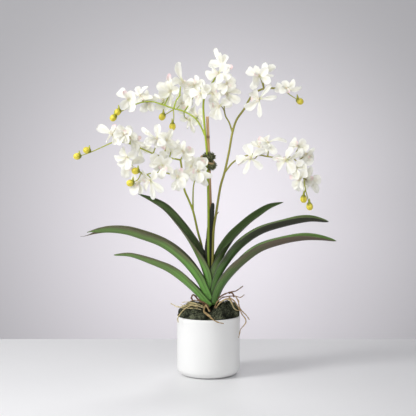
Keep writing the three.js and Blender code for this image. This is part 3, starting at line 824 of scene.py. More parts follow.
# %% List the leaves
# midline: the middle of the near wing. clasp and spread: half the fold's width at the foot
# and further out. lean: turn of the channel towards the viewer at foot, middle and tip, in
# degrees. tip: where the tip starts and how wide it ends. outer and inner: colours of the
# two faces at the foot, further out and along the edge.
LEAVES = {
    "lower_left": {
        "midline": [(4, 0, 132), (-8, 0, 144), (-23, -1, 160), (-44, -4, 180), (-75, -9, 203),
                    (-111, -14, 218), (-147, -18, 229), (-177, -20, 229)],
        "width": 14, "clasp": 18, "spread": 6, "lean": (0, -6, 0), "tip": (0.5, 0.2),
        "outer": ("bright", "green", "brown"), "inner": ("deep", "deep", "brown"),
    },
    "lower_right": {
        "midline": [(9, 0, 134), (14, 0, 149), (20, -1, 164), (29, -3, 179), (45, -7, 199),
                    (66, -13, 220), (96, -20, 242), (136, -28, 256), (176, -34, 263), (206, -38, 262),
                    (236, -41, 257)],
        "width": 15, "clasp": 16, "spread": 7, "lean": (0, 12, 34), "tip": (0.74, 0.2),
        "outer": ("fresh", "brown", "brown"), "inner": ("deep", "green", "green"),
    },
    "long_left": {
        "midline": [(2, 0, 141), (-5, 0, 160), (-15, 0, 181), (-39, -3, 213), (-65, -8, 237),
                    (-90, -13, 253), (-124, -20, 266), (-155, -26, 275), (-195, -32, 277),
                    (-237, -37, 266)],
        "width": 18, "clasp": 14, "spread": 8, "lean": (4, 15, -10), "tip": (0.6, 0.4), "fork": 0.84,
        "outer": ("bright", "green", "brown"), "inner": ("dark", "brown", "olive"),
    },
    "middle_right": {
        "midline": [(6, 0, 147), (9, 0, 160), (13, 0, 179), (21, 0, 197), (31, -1, 213), (46, -2, 233),
                    (65, -3, 252), (97, -4, 273), (138, -4, 286), (189, -3, 295), (226, -2, 290)],
        "width": 15, "clasp": 12, "spread": 7, "lean": (2, 8, 22), "tip": (0.78, 0.25),
        "outer": ("fresh", "dark", "dark"), "inner": ("deep", "olive", "green"),
    },
    "upper_left": {
        "midline": [(3, 0, 152), (0, 0, 185), (-9, 0, 213), (-22, 2, 237), (-37, 5, 261), (-55, 9, 285),
                    (-82, 15, 314), (-107, 20, 329), (-134, 24, 341)],
        "width": 16, "clasp": 10, "spread": 8, "lean": (4, 44, 60), "tip": (0.72, 0.07),
        "outer": ("bright", "olive", "brown"), "inner": ("dark", "forest", "dark"),
    },
    "upper_right": {
        "midline": [(5, 0, 158), (9, 0, 189), (16, 0, 213), (25, 2, 231), (34, 4, 245), (45, 7, 260),
                    (62, 11, 277), (78, 15, 291), (95, 18, 303), (116, 22, 316), (143, 25, 325)],
        "width": 16, "clasp": 8, "spread": 8, "lean": (2, 46, 62), "tip": (0.72, 0.07),
        "outer": ("green", "dark", "dark"), "inner": ("forest", "forest", "forest"),
    },
    # the centre leaf stands deep in the fan, so both its faces are painted near black as painted shade
    "centre": {
        "midline": [(1, 2.9, 172), (1.2, 2.9, 200), (1.6, 2.9, 236), (4.4, 2.9, 283), (8.2, 2.9, 325)],
        "width": 17, "clasp": 2.4, "spread": 2.8, "lean": (0, 0, 0), "tip": (0.3, 0.42),
        "outer": ("painted_shade_black", "painted_shade_black", "dark"), "inner": ("painted_shade_black", "painted_shade_black", "dark"),
    },
}
print(len(LEAVES), "leaves")

# %% Set the leaf's measures
LEAF_ROWS = 56
LEAF_COLUMNS = 16
LEAF_THICKNESS = 1.1
LEAF_KEEL_THICKNESS = 0.6
LEAF_THINNING = 0.5
EDGE_THINNING = 0.45
LEAF_FOOT_WIDTH = 0.86
LEAF_BELLY = 0.72
LEAF_TIP_SHARPNESS = 1.8
LEAF_ROUND_START = 0.97
LEAF_ROUNDING = 0.9
LEAF_UNFOLD = (0.06, 0.5)
LEAF_TURN = (0.16, 0.46)
KNEE_WIDTH = (1.0, 0.62)
KNEE_HEIGHT = (0.06, 0.28)
KNEE_SOFTNESS = 0.3
LEAF_WAVE = 0.6
WAVE_TURNS = 14
WAVE_SHIFT = 2
# each wing: the part of the fold that it spans, how far out it reaches, where its tip ends
WHOLE_LEAF = [(-1, 1, 1.0, 0)]
FORKED_LEAF = [(-1, 0.03, 1.0, -0.2), (-0.03, 1, 0.955, 0.9)]
LOBE_NARROWING = 0.9
NO_FORK = 2
print("a leaf is a grid of", LEAF_ROWS, "by", LEAF_COLUMNS, "cells")

# %% Shape a leaf
def through(three, share):
    """A smooth value that passes through three numbers at the shares 0, 0.5 and 1."""
    first, middle, last = three
    early = first * (1 - share) * (1 - 2 * share)
    late = last * share * (2 * share - 1)
    return early + middle * 4 * share * (1 - share) + late


def leaf_height(leaf, share):
    """The height of the folded leaf, from keel to edge, at a share of its length."""
    tip_start, tip_width = leaf["tip"]
    belly = math.sin(math.pi * min(1.0, share / LEAF_BELLY))
    tip = max(0.0, (share - tip_start) / (1 - tip_start))
    narrowed = 1 - (1 - tip_width) * tip ** LEAF_TIP_SHARPNESS
    rounding = smooth_step(share, LEAF_ROUND_START, 1.0) ** 2 * LEAF_ROUNDING
    rounded = math.sqrt(max(0.0, 1 - rounding))
    return leaf["width"] * blend((LEAF_FOOT_WIDTH, 1), belly) * narrowed * rounded


def fold_place(across, height, half_fold, unfold):
    """How far aside and how high a point of the fold lies; across runs from -1 to 1."""
    share = abs(across)
    knee = half_fold * blend(KNEE_WIDTH, unfold), height * blend(KNEE_HEIGHT, unfold)
    floor, wall = min(1.0, 2 * share), max(0.0, 2 * share - 1)
    place = []
    for bend, end in zip(knee, (half_fold, height)):
        sharp = floor * bend + wall * (end - bend)
        soft = 2 * share * (1 - share) * bend + share * share * end
        place.append(blend((sharp, soft), KNEE_SOFTNESS))
    return math.copysign(place[0], across), place[1]


def leaf_sides(leaf, along, share):
    """The directions across the fold and into it, once the leaf has leant over."""
    aside = UP.cross(along).normalized()
    inward = along.cross(aside)
    lean = math.radians(through(leaf["lean"], share)) * smooth_step(share, *LEAF_TURN)
    turn = Matrix.Rotation(lean * math.copysign(1, along.x), 3, along)
    return turn @ aside, turn @ inward


def leaf_grid(leaf, first, last, reach, lobe_middle):
    """Places and marks of the part of a leaf between two shares of its fold."""
    line = smooth_line(leaf["midline"], LEAF_ROWS + 1)
    fork = leaf.get("fork", NO_FORK)
    grid, marks = [], []
    for row in range(LEAF_ROWS + 1):
        share = reach * row / LEAF_ROWS
        index = min(int(share * LEAF_ROWS), LEAF_ROWS - 1)
        middle = line[index].lerp(line[index + 1], share * LEAF_ROWS - index)
        aside, inward = leaf_sides(leaf, (line[index + 1] - line[index]).normalized(), share)
        height = leaf_height(leaf, share)
        unfold = smooth_step(share, *LEAF_UNFOLD)
        half_fold = blend((leaf["clasp"], leaf["spread"] * height / leaf["width"]), unfold)
        lobe = smooth_step(share, fork, reach) if share > fork else 0.0
        places, tags = [], []
        for column in range(LEAF_COLUMNS + 1):
            across = first + (last - first) * column / LEAF_COLUMNS
            fold = across + (lobe_middle - across) * LOBE_NARROWING * lobe
            out, up = fold_place(fold, height, half_fold, unfold)
            phase = WAVE_TURNS * share + WAVE_SHIFT * math.copysign(1, fold)
            up += LEAF_WAVE * fold * fold * math.sin(phase)
            places.append(middle + (aside * out + inward * (up - height / 2)) * MM)
            tags.append((share, across, 0))
        grid.append(places)
        marks.append(tags)
    return grid, marks


def leaf_thickness(share, across):
    keel = LEAF_THICKNESS + LEAF_KEEL_THICKNESS * (1 - abs(across)) ** 4
    return keel * (1 - LEAF_THINNING * share) * (1 - EDGE_THINNING * across ** 6)


def leaf_shell(leaf):
    """A whole leaf in one sheet, or a forked one in two that overlap at the keel."""
    shell = Shell()
    for wing in FORKED_LEAF if "fork" in leaf else WHOLE_LEAF:
        grid, marks = leaf_grid(leaf, *wing)
        shell.sheet(grid, marks, leaf_thickness, slots=(0, 1))
    return shell


print("a leaf's keel is", leaf_thickness(0, 0), "mm thick at the foot")

# %% Mix the leaf finishes
LEAF_COLOURS = {
    "bright": colour(102, 152, 66), "green": colour(106, 136, 72), "deep": colour(70, 100, 46),
    "fresh": colour(80, 118, 52),
    "forest": colour(92, 114, 68), "olive": colour(104, 110, 70), "brown": colour(98, 86, 70),
    # the near-black colour is painted shade, for the centre leaf deep in the fan
    "dark": colour(52, 53, 38), "painted_shade_black": colour(30, 32, 25),
}
VEIN_SHADE = colour(34, 46, 26)
# painted shadow for the dark lines where the leaves' edges overlap near their feet
EDGE_PAINTED_SHADOW = colour(34, 34, 22)
VEIN_LINES = 24
LEAF_GLOSS = 0.38
# where each look starts and where it is full, along the leaf or across it
FOOT_FADE = (0.1, 0.62)
RIM_FADE = (0.62, 1.0)
RIM_START = (0.02, 0.3)
VEIN_FADE = (0.46, 0.7)
EDGE_SHADOW_SPAN = (0.9, 0.98)
EDGE_SHADOW_FADE = (0.7, 0.2)

def leaf_finish(name, foot, outward, edge):
    """Leathery green with fine lengthwise veins, one colour at the foot and others outward, and painted
    shadow along the edges near the foot.
    """
    leather = Finish(name)
    along, across, _ = leather.mark("mark")
    side = abs(across)
    veins = leather.grain(leather.vector(across * VEIN_LINES, along * 1.2, 0.0), scale=1.0,
                          detail=4.0, roughness=0.65)
    blotch = leather.grain(leather.place(), scale=26, detail=3.0)
    reach = (along + 0.5 * (blotch - 0.5) + 0.2 * (veins - 0.5)).between(*FOOT_FADE)
    body = leather.mix(reach, LEAF_COLOURS[foot], LEAF_COLOURS[outward])
    rim = (side + 0.5 * (blotch - 0.5)).between(*RIM_FADE) * along.between(*RIM_START)
    edged = leather.mix(rim * 0.8, body, LEAF_COLOURS[edge])
    veined = leather.mix(veins.between(*VEIN_FADE) * 0.75, edged, VEIN_SHADE)
    # painted shadow along both edges, strongest at the foot and gone by the middle
    painted_edge_shadow = side.between(*EDGE_SHADOW_SPAN) * along.between(*EDGE_SHADOW_FADE) * 0.8
    edge_shadowed = leather.mix(painted_edge_shadow, veined, EDGE_PAINTED_SHADOW)
    leather.set(base_color=edge_shadowed, roughness=LEAF_GLOSS + 0.2 * veins, specular_ior_level=0.4)
    leather.bump(veins, distance=0.0008, strength=0.5)
    return leather


print(len(LEAF_COLOURS), "leaf colours")

# %% Make the leaves
for leaf_name, leaf in LEAVES.items():
    shell = leaf_shell(leaf)
    faces = [leaf_finish(leaf_name + "_" + face, *leaf[face]) for face in ("outer", "inner")]
    make_piece("strap_" + leaf_name, shell, faces, ["leaf_" + leaf_name])
    print(leaf_name, "leaf:", len(shell.faces), "faces")

# %% [markdown]
# ## Flowers, first as a list
#
# Every flower is placed by its heart, the way it faces and the tips of its petals. A tip is
# written as seen from the front: so far right and so far up of the heart. How far the petal
# leans towards the viewer or away follows from its length, because a petal is about as long
# as its neighbours, so a short view of it means that it leans. The stems need this list
# too, because a stalk runs from the stem to the back of each heart.

# %% List the flowers
# name: (line that carries it, heart, (azimuth, elevation) of the face, petal tips, lip tip)
FLOWERS = {
    "upper_left_1": ("centre_left", (-147, -28, 519), (-15, 0),
                     [(-19, 16), (-12, -18), (10, -23), (9, 13), (13, 1)], (-8, 14)),
    "upper_left_2": ("centre_left", (-129, 30, 526), (-20, 15),
                     [(-9, 20), (12, 17), (22, -3), (-19, -2), (-6, -14)], (6, -10)),
    "upper_left_3": ("centre_left", (-71, 28, 535), (0, -5),
                     [(-27, 12), (-21, -8), (-4, -28), (15, 2), (8, 20), (-7, 19)], (-3, 33)),
    "upper_left_4": ("centre_curl", (-48, 6, 553), (15, -10),
                     [(-8, 35), (-5, -9), (20, -11), (10, -23), (-20, -4)], (9, -8)),
    "upper_left_5": ("stem_centre", (-14, -30, 529), (-35, 0),
                     [(12, -3), (-22, 3), (-8, -20), (3, 20), (17, 12)], (-6, -8)),
    "upper_left_6": ("centre_left", (-50, 43, 513), (14, 4),
                     [(22, 3), (13, -14), (-12, 14), (-20, -6), (-3, -20)], (4, -10)),
    "upper_left_7": ("centre_left", (-37, 30, 481), (125, -20),
                     [(-15, 4), (-3, -16), (16, 6), (4, 22), (12, -20)], (-6, 6)),
    "crown_1": ("stem_centre", (27, 18, 583), (-15, 5),
                [(-14, 33), (-5, 23), (8, 17), (-25, 6), (12, -13)], (19, -5)),
    "crown_2": ("stem_centre", (19, -22, 567), (-20, -10),
                [(-26, -3), (3, -21), (-13, 9), (20, -10), (14, 14)], (-4, -9)),
    "crown_3": ("right_inner", (34, 12, 531), (0, -12),
                [(-13, 2), (27, 2), (25, -16), (3, -28), (4, 20)], (7, -10)),
    "crown_4": ("right_inner", (21, -18, 506), (-15, -5),
                [(-20, -3), (-10, -24), (1, -26), (-17, 11), (18, 8)], (-14, 2)),
    "upper_right_1": ("stem_right", (94, -14, 562), (-10, 0),
                      [(-22, 14), (-10, -17), (-15, -24), (16, 12), (18, -12)], (-9, 0)),
    "upper_right_2": ("stem_right", (101, 24, 569), (-10, 15),
                      [(10, 16), (25, 12), (8, -15), (-16, 10), (20, -8)], (1, 8)),
    "upper_right_3": ("stem_right", (94, -18, 519), (-20, 5),
                      [(21, 27), (32, 3), (0, -34), (-26, -17), (-14, 15)], (-15, -1)),
    "upper_right_4": ("stem_right", (145, -12, 539), (-12, 5),
                      [(-21, 6), (-12, -9), (-2, 12), (27, 0), (14, 12)], (5, -8)),
    "lower_right_1": ("right_low", (78, -40, 410), (-40, 18),
                      [(-7, 25), (25, 16), (21, -19), (-12, -30), (-28, -3)], (-22, -14)),
    "lower_right_2": ("right_low", (110, -28, 438), (-15, 20),
                      [(35, 1), (-11, -6), (-4, -11), (13, -19), (-2, 12)], (-17, 10)),
    "lower_right_3": ("right_low", (142, -48, 407), (-30, 10),
                      [(-22, 5), (-16, -15), (9, 21), (31, 20), (13, -22)], (-16, -1)),
    "lower_right_4": ("right_low", (167, -60, 373), (-30, -12),
                      [(-12, -16), (-4, -24), (4, -20), (9, 15), (-14, 12)], (-17, 4)),
    "lower_right_5": ("right_low", (182, -14, 368), (-20, 8),
                      [(8, -8), (22, -23), (27, 2), (9, 25), (-10, -18)], (13, 5)),
    "lower_left_1": ("left_high", (-176, -44, 454), (-40, 15),
                     [(-28, 13), (-1, 10), (12, -16), (-9, -14), (18, 4)], (7, 16)),
    "lower_left_2": ("left_high", (-145, -29, 447), (-5, 5),
                     [(13, 6), (29, -13), (12, -25), (-16, 10), (-2, 22)], (21, 0)),
    "lower_left_3": ("left_high", (-94, -44, 445), (-5, 10),
                     [(1, 27), (-29, 21), (3, -15), (-20, -8), (14, -10)], (-8, -6)),
    "lower_left_4": ("left_high", (-79, -4, 443), (-5, 10),
                     [(-4, 1), (10, -1), (12, 20), (18, -14), (-14, 14)], (-4, -17)),
    "lower_left_5": ("left_high", (-148, -52, 412), (-20, 0),
                     [(-12, 17), (-26, -2), (-18, -16), (16, 10), (4, -22)], (-8, -5)),
    "lower_left_6": ("left_low", (-147, -16, 396), (-25, 0),
                     [(-15, -11), (-9, -25), (27, 12), (-6, 20), (16, -14)], (5, -8)),
    "lower_left_7": ("left_low", (-106, -62, 370), (-20, 0),
                     [(-11, -18), (6, -35), (24, -21), (-16, 16), (12, 18)], (-13, -3)),
    "lower_left_8": ("left_low", (-89, -38, 404), (5, 25),
                     [(9, -11), (-16, -11), (-18, 7), (4, 20), (20, 6)], (1, -14)),
    "lower_left_9": ("left_low", (-55, -54, 376), (-15, 8),
                     [(-15, -1), (19, -2), (-8, -23), (1, -24), (10, -19), (-4, 19)], (7, 16)),
    "lower_left_10": ("left_high", (-47, -24, 422), (-10, 8),
                      [(4, 18), (-14, 12), (-16, -10), (12, -16), (20, -2)], (15, 8)),
    "lower_left_11": ("left_short", (-19, -40, 386), (-5, -8),
                      [(25, -9), (5, -21), (16, -27), (-12, -18), (6, 16)], (-10, -1)),
    "extra_crown": ("right_inner", (35, -4, 548), (-20, 10),
                    [(14, 8), (16, -8), (-4, -21), (-19, -4), (2, 18)], (6, -8)),
    "extra_crown_low": ("stem_centre", (8, 6, 530), (-10, 0),
                        [(-14, 14), (-18, -8), (4, 20), (14, -8), (2, -20)], (6, 8)),
    "extra_upper": ("stem_centre", (-27, 20, 547), (-25, 20),
                    [(8, 14), (20, 4), (-12, 10), (-14, -10), (6, -16)], (4, 6)),
    "extra_upper_outer": ("centre_left", (-117, 42, 516), (-10, 0),
                          [(-10, -20), (12, -19), (18, 8), (-14, 14), (2, 20)], (6, -6)),
    "extra_upper_middle": ("centre_left", (-86, 44, 520), (-10, 10),
                           [(-12, -18), (8, -22), (20, 4), (-20, 6), (2, 20)], (-6, 8)),
    "extra_upper_inner": ("centre_left", (-31, 34, 528), (-20, 10),
                          [(-16, 14), (12, 14), (18, -10), (-6, -22), (-20, -4)], (6, 8)),
    "extra_upper_low": ("centre_left", (-22, 26, 488), (-20, 5),
                        [(-6, 22), (10, 14), (12, -12), (-4, -18), (-16, 2)], (-5, 7)),
    "extra_right_high": ("right_low", (166, -14, 432), (-20, 10),
                         [(-12, 10), (11, 12), (-16, -8), (6, -18), (18, -4)], (-1, 6)),
    "extra_right_end": ("right_low", (184, 0, 417), (-15, 5),
                        [(14, 6), (12, -6), (-10, -12), (4, -20), (-14, 8)], (6, -6)),
    "extra_right_near": ("right_low", (95, -6, 430), (-10, 10),
                         [(-14, 10), (-4, 18), (14, 12), (16, -8), (0, -16)], (5, 8)),
    "extra_right_hook": ("right_low", (160, -54, 393), (-25, 5),
                         [(-17, -7), (-10, 14), (12, 12), (5, -20), (19, -4)], (-6, 7)),
    "extra_left_high": ("left_high", (-153, -60, 453), (-10, 5),
                        [(-8, 16), (14, 8), (-18, -4), (8, -16), (-8, -18)], (4, 6)),
    "extra_left_band": ("left_high", (-128, 16, 428), (-10, 10),
                        [(22, 10), (24, -6), (-10, 14), (-16, -8), (6, -20)], (6, 8)),
    "extra_left_middle": ("left_high", (-72, 14, 434), (-15, 10),
                          [(12, -18), (18, 6), (-12, 14), (-6, -20), (-18, -2)], (4, 8)),
    "extra_left_bright": ("left_low", (-82, -56, 396), (-10, -5),
                          [(-8, 18), (14, 14), (18, -8), (-4, -22), (-19, -4)], (5, -7)),
    "extra_left_tie": ("left_short", (-12, -20, 400), (10, 0),
                       [(2, 10), (10, 4), (-11, 8), (6, -14), (-12, -8)], (2, 5)),
    "extra_left_inner": ("left_short", (-31, -10, 393), (-10, 0),
                         [(4, 17), (-14, 6), (14, -8), (-10, -16), (12, 12)], (3, -7)),
    "extra_left_low": ("left_low", (-128, -44, 366), (-20, 5),
                       [(-18, -12), (-8, -22), (6, -20), (-14, 10), (14, 8)], (-4, -8)),
}
print(len(FLOWERS), "flowers")

# %% [markdown]
# ## Stems
#
# Three stems carry the sprays. Each is one grown piece: a trunk, its branches and the short
# stalks of the flowers. Separate tubes pushed into each other would show a hard line at
# every fork, so the tubes of a stem are laid over each other and then remeshed into one
# skin, which rounds the forks as growth does. The stems are green, browner in patches.

# %% List the stems
STEMS = {
    "stem_left": {
        "stem_left": [(-5, 26, 66), (-5, 26, 100), (-5, 26, 137), (-8, 25, 195), (-12, 21, 237),
                      (-20, 14, 269), (-29, 6, 309), (-37, 2, 330), (-45, -3, 350), (-48, -8, 376),
                      (-52, -12, 406)],
        "left_short": [(-29, 6, 309), (-29, 4, 338), (-28, 0, 357), (-23, -6, 376)],
        "left_high": [(-52, -12, 406), (-72, -12, 410), (-96, -12, 415), (-122, -12, 426),
                      (-146, -12, 436), (-172, -14, 440), (-200, -18, 429)],
        "left_low": [(-46, -4, 358), (-66, -10, 377), (-85, -16, 383), (-104, -22, 382), (-119, -28, 378)],
    },
    "stem_centre": {
        "stem_centre": [(1, -3.6, 146), (0.6, -3.7, 190), (0, -4, 229), (0, -4, 308), (-1, -2, 368),
                        (-3, 0, 421), (-7, 0, 466), (-9, 2, 516), (-2, 6, 537), (8, 8, 551),
                        (13, 8, 560)],
        "centre_left": [(-7, 1, 452), (-14, 1, 468), (-25, 3, 484), (-47, 6, 497), (-65, 8, 502),
                        (-88, 9, 510), (-106, 10, 515), (-128, 10, 513), (-143, 9, 507), (-154, 8, 502)],
        "centre_curl": [(-65, 8, 502), (-63, 8, 510), (-60, 9, 518), (-54, 10, 526)],
    },
    "stem_right": {
        "stem_right": [(7, -3.8, 152), (7, -3.8, 190), (8, -4, 216), (10, -1, 276), (14, 2, 302),
                       (23, 4, 357), (30, 5, 381), (39, 8, 422), (45, 10, 456), (53, 11, 481),
                       (67, 11, 501), (81, 10, 525), (97, 10, 537), (123, 8, 540), (144, 6, 534)],
        "right_inner": [(45, 10, 458), (39, 12, 476), (32, 17, 489), (30, 24, 506), (33, 29, 517)],
        "right_low": [(30, 5, 381), (46, -2, 401), (65, -10, 412), (87, -16, 417), (107, -20, 413),
                      (133, -24, 410), (154, -28, 411), (169, -32, 395), (176, -34, 373)],
        "right_thorn": [(14, 2, 302), (17, 1, 305), (20, 0, 309)],
    },
}
stem_lines = {}
STEM_STEPS = 90
for lines in STEMS.values():
    for line_name, points in lines.items():
        stem_lines[line_name] = smooth_line(points, STEM_STEPS)
print(len(stem_lines), "lines in", len(STEMS), "stems")

# %% Run the stalks
TRUNK_RADIUS = (2.6, 1.9)
BRANCH_RADIUS = (1.7, 1.2)
THORN_RADIUS = (1.6, 0.4)
STALK_RADIUS = (1.2, 0.8)
STALK_BEND = 14
STALK_STEPS = 14
JOINT_SWELL = 0.5
HEART_BACK = 3.9

def facing(azimuth, elevation):
    """The direction that a flower faces, with azimuth to the right of the front."""
    turn, rise = math.radians(azimuth), math.radians(elevation)
    return Vector((math.sin(turn) * math.cos(rise), -math.cos(turn) * math.cos(rise), math.sin(rise)))


def stalk_line(carrier, heart, face):
    """A bent line from the nearest point of the carrying stem to the back of the heart."""
    end = Vector(heart) * MM - face * HEART_BACK * MM
    bend = Vector(heart) * MM - face * STALK_BEND * MM
    start = min(stem_lines[carrier], key=lambda place: (place - bend).length)
    shares = [step / STALK_STEPS for step in range(STALK_STEPS + 1)]
    return [(1 - s) ** 2 * start + 2 * s * (1 - s) * bend + s * s * end for s in shares]


def stalk_radius(share):
    """The radius along a stalk, which swells where it leaves the stem and at the heart."""
    return blend(STALK_RADIUS, share) + JOINT_SWELL * (1 - share) ** 6 + JOINT_SWELL * share ** 8


print("a stalk is", stalk_radius(0), "mm in radius where it leaves the stem")

# %% Finish the stems
# each stem: its colours high up and low down
STEM_COLOURS = {
    "stem_left": (colour(170, 178, 60), colour(124, 132, 40)),
    "stem_centre": (colour(160, 178, 44), colour(100, 124, 30)),
    "stem_right": (colour(148, 146, 54), colour(110, 106, 38)),
}
STEM_BRUISE = colour(104, 100, 34)
STEM_FADE = (0.18, 0.42)
BRUISE_FADE = (0.45, 0.75)
FIBRE_SCALE = (900, 900, 40)

def stem_finish(name, high_colour, low_colour):
    """Green skin that is lighter high up and darker and duller low down."""
    green = Finish(name)
    height = green.node("ShaderNodeSeparateXYZ", values={0: green.place()}, output=2)
    patches = green.grain(green.place(), scale=30, detail=3.0)
    skin = green.mix((height + 0.15 * (patches - 0.5)).between(*STEM_FADE), low_colour, high_colour)
    bruised = green.mix(patches.between(*BRUISE_FADE) * 0.4, skin, STEM_BRUISE)
    green.set(base_color=bruised, roughness=0.5)
    green.bump(0.7 * green.streaks(FIBRE_SCALE) + 0.3 * patches, distance=0.0004, strength=0.4)
    return green


print("stem colours for", ", ".join(STEM_COLOURS))

# %% Make the stems
STEM_SKIN = 0.55

def one_skin(piece, size):
    """Remeshes overlapping tubes into one skin and smooths it."""
    skin = piece.modifiers.new("one_skin", "REMESH")
    skin.mode = "VOXEL"
    skin.voxel_size = size * MM
    skin.use_smooth_shade = True
    even = piece.modifiers.new("even", "SMOOTH")
    even.factor = 0.5
    even.iterations = 3


for stem_name, lines in STEMS.items():
    shell = Shell()
    radii = {stem_name: TRUNK_RADIUS, "right_thorn": THORN_RADIUS}
    for line_name in lines:
        shell.tube(stem_lines[line_name], taper(radii.get(line_name, BRANCH_RADIUS)), sides=12)
    for carrier, heart, turn, _, _ in FLOWERS.values():
        if carrier in lines:
            shell.tube(stalk_line(carrier, heart, facing(*turn)), stalk_radius, sides=8)
    skin = stem_finish(stem_name + "_skin", *STEM_COLOURS[stem_name])
    piece = make_piece("grown_" + stem_name, shell, [skin], [stem_name])
    one_skin(piece, STEM_SKIN)
    print(stem_name, "carries", sum(flower[0] in lines for flower in FLOWERS.values()), "flowers")

# %% [markdown]
# ## Flowers
#
# Each flower has five petals and sepals that look alike, a lip with a pink tip, two small
# lobes and a cream column at the heart. A petal is narrow where it leaves the heart, widest
# past the middle and round at the end. It is arched along its length, cupped across and
# slightly ruffled, and it is thin enough for light to show through, so its finish mixes a
# Translucent shader with the Principled one.

# %% Set the petal's measures
PETAL_ROWS = 16
PETAL_COLUMNS = 12
PETAL_WIDTH = 16.5
PETAL_SPREAD = (0.68, 1.18)
PETAL_THICKNESS = 0.42
PETAL_CLAW = 0.22
PETAL_BELLY = 0.64
PETAL_SQUARENESS = 2.5
PETAL_END = 0.02
PETAL_LENGTHS = (20, 29)
PETAL_STRETCH = 1.3
LEAST_STRETCH = 1.02
PETAL_LIFT = 0.12
PETAL_NARROW_LENGTH = 32
PETAL_NARROWING = 0.75
EDGE_ON = 0.2
ROUND_END = 1.6
HEART_GAP = 1.0
RUFFLE = 1.1
LONG_WAVE = 11
SHORT_WAVE = 23
SHORT_WAVE_HEIGHT = 0.6
EDGE_WAVE = 0.05
BOW = 3.2
CURL_BACK = (-1, 4)
PETAL_ARCH = (-2.5, 5)
PETAL_CUP = (-0.5, 3.8)
PETAL_ROLL = 0.5
PETAL_TWIST = 0.6
CREASE_DEPTH = 0.6
CREASE_WIDTH = 0.2
print("a petal is", PETAL_LENGTHS[0], "to", PETAL_LENGTHS[1], "mm long")

# %% Shape a petal
def petal_half_width(share, width):
    """Half the width of a petal at a share of its length."""
    if share < PETAL_BELLY:
        return 0.5 * width * blend((PETAL_CLAW, 1), smooth_step(share, 0, PETAL_BELLY))
    end = (share - PETAL_BELLY) / (1 - PETAL_BELLY)
    return 0.5 * width * max(0.0, 1 - end ** PETAL_SQUARENESS) ** (1 / PETAL_SQUARENESS) + PETAL_END


def petal_thickness(share, across):
    """Thick at the foot and along the middle, and thin at the tip and the edges."""
    return PETAL_THICKNESS * (1.5 - 0.8 * share) * (1 - 0.5 * across * across)


def petal_tip(right, up, face, lengths):
    """The tip seen at (right, up) from the front, leaning so that it lies in the flower's plane."""
    seen = math.hypot(right, up)
    length = max(LEAST_STRETCH * seen, min(max(PETAL_STRETCH * seen, lengths[0]), lengths[1]))
    depth = math.sqrt(length * length - seen * seen)
    near, far = Vector((right, -depth, up)), Vector((right, depth, up))
    return min(near, far, key=lambda tip: abs(tip.dot(face) - PETAL_LIFT * length))


def petal(shell, heart, tip, face, width, arch, cup, tint):
    """A petal from the heart to its tip: arch bends it along and cup across, in millimetres."""
    along = tip.normalized()
    aside = face.cross(along)
    if aside.length < EDGE_ON:
        aside = Vector((1, 0, 0)).cross(along)
    aside = Matrix.Rotation(dice.uniform(-PETAL_ROLL, PETAL_ROLL), 3, along) @ aside.normalized()
    up = along.cross(aside)
    phase = [dice.uniform(0, 2 * math.pi) for _ in range(2)]
    twist = dice.uniform(-PETAL_TWIST, PETAL_TWIST)
    bow = dice.uniform(-BOW, BOW)
    curl = dice.uniform(*CURL_BACK)
    size = tip.length / PETAL_LENGTHS[1]
    grid, marks = [], []
    for row in range(PETAL_ROWS + 1):
        share = 1 - (1 - row / PETAL_ROWS) ** ROUND_END
        bulge = 4 * share * (1 - share)
        spine = heart + along * (HEART_GAP + (tip.length - HEART_GAP) * share)
        spine += size * (up * (arch * bulge - curl * share ** 3) + aside * bow * bulge)
        half = petal_half_width(share, width)
        places, tags = [], []
        for column in range(PETAL_COLUMNS + 1):
            across = 2 * column / PETAL_COLUMNS - 1
            wave = math.sin(LONG_WAVE * share + phase[across > 0])
            wave += SHORT_WAVE_HEIGHT * math.sin(SHORT_WAVE * share + phase[across < 0])
            lift = cup * across ** 2 * half / (0.5 * width) + RUFFLE * size * share * across ** 2 * wave
            lift += twist * across * half * share
            lift -= CREASE_DEPTH * size * math.exp(-(across / CREASE_WIDTH) ** 2)
            reach = half * (1 + EDGE_WAVE * share * wave)
            places.append((spine + aside * across * reach + up * lift) * MM)
            tags.append((share, across, tint))
        grid.append(places)
        marks.append(tags)
    shell.sheet(grid, marks, petal_thickness)


print("a petal's tip is", round(petal_thickness(1, 0), 2), "mm thick")

# %% Shape the heart
COLUMN_OUTLINE = [(0, -3.2), (1.2, -2.6), (1.6, -0.8), (1.4, 1.2), (1.7, 2.8), (1.6, 4.0), (1.0, 4.8),
                  (0, 5.1)]
COLUMN_SIDES = 12
COLUMN_MARK = (0, 0, 2)
LOBE_LENGTH = 6
LOBE_WIDTH = 4.5

def heart_of(shell, heart, face, lip):
    """The column in the middle of a flower and the two small lobes beside it."""
    column = Shell()
    lathe(column, COLUMN_OUTLINE, COLUMN_SIDES)
    shell.take(column, face.to_track_quat("Z", "Y"), heart * MM, lambda place: COLUMN_MARK)
    aside = lip.cross(face).normalized()
    for way in (-1, 1):
        tip = (0.5 * lip.normalized() + 0.7 * way * aside + 0.8 * face).normalized() * LOBE_LENGTH
        lobe_face = (face - 0.5 * way * aside).normalized()
        petal(shell, heart, tip, lobe_face, LOBE_WIDTH, arch=0.5, cup=0.8, tint=0.8)


print("the column is", COLUMN_OUTLINE[-1][1] - COLUMN_OUTLINE[0][1], "mm long")

# %% Shape a flower
LIP_WIDTH = 9.5
LIP_LENGTHS = (14, 22)

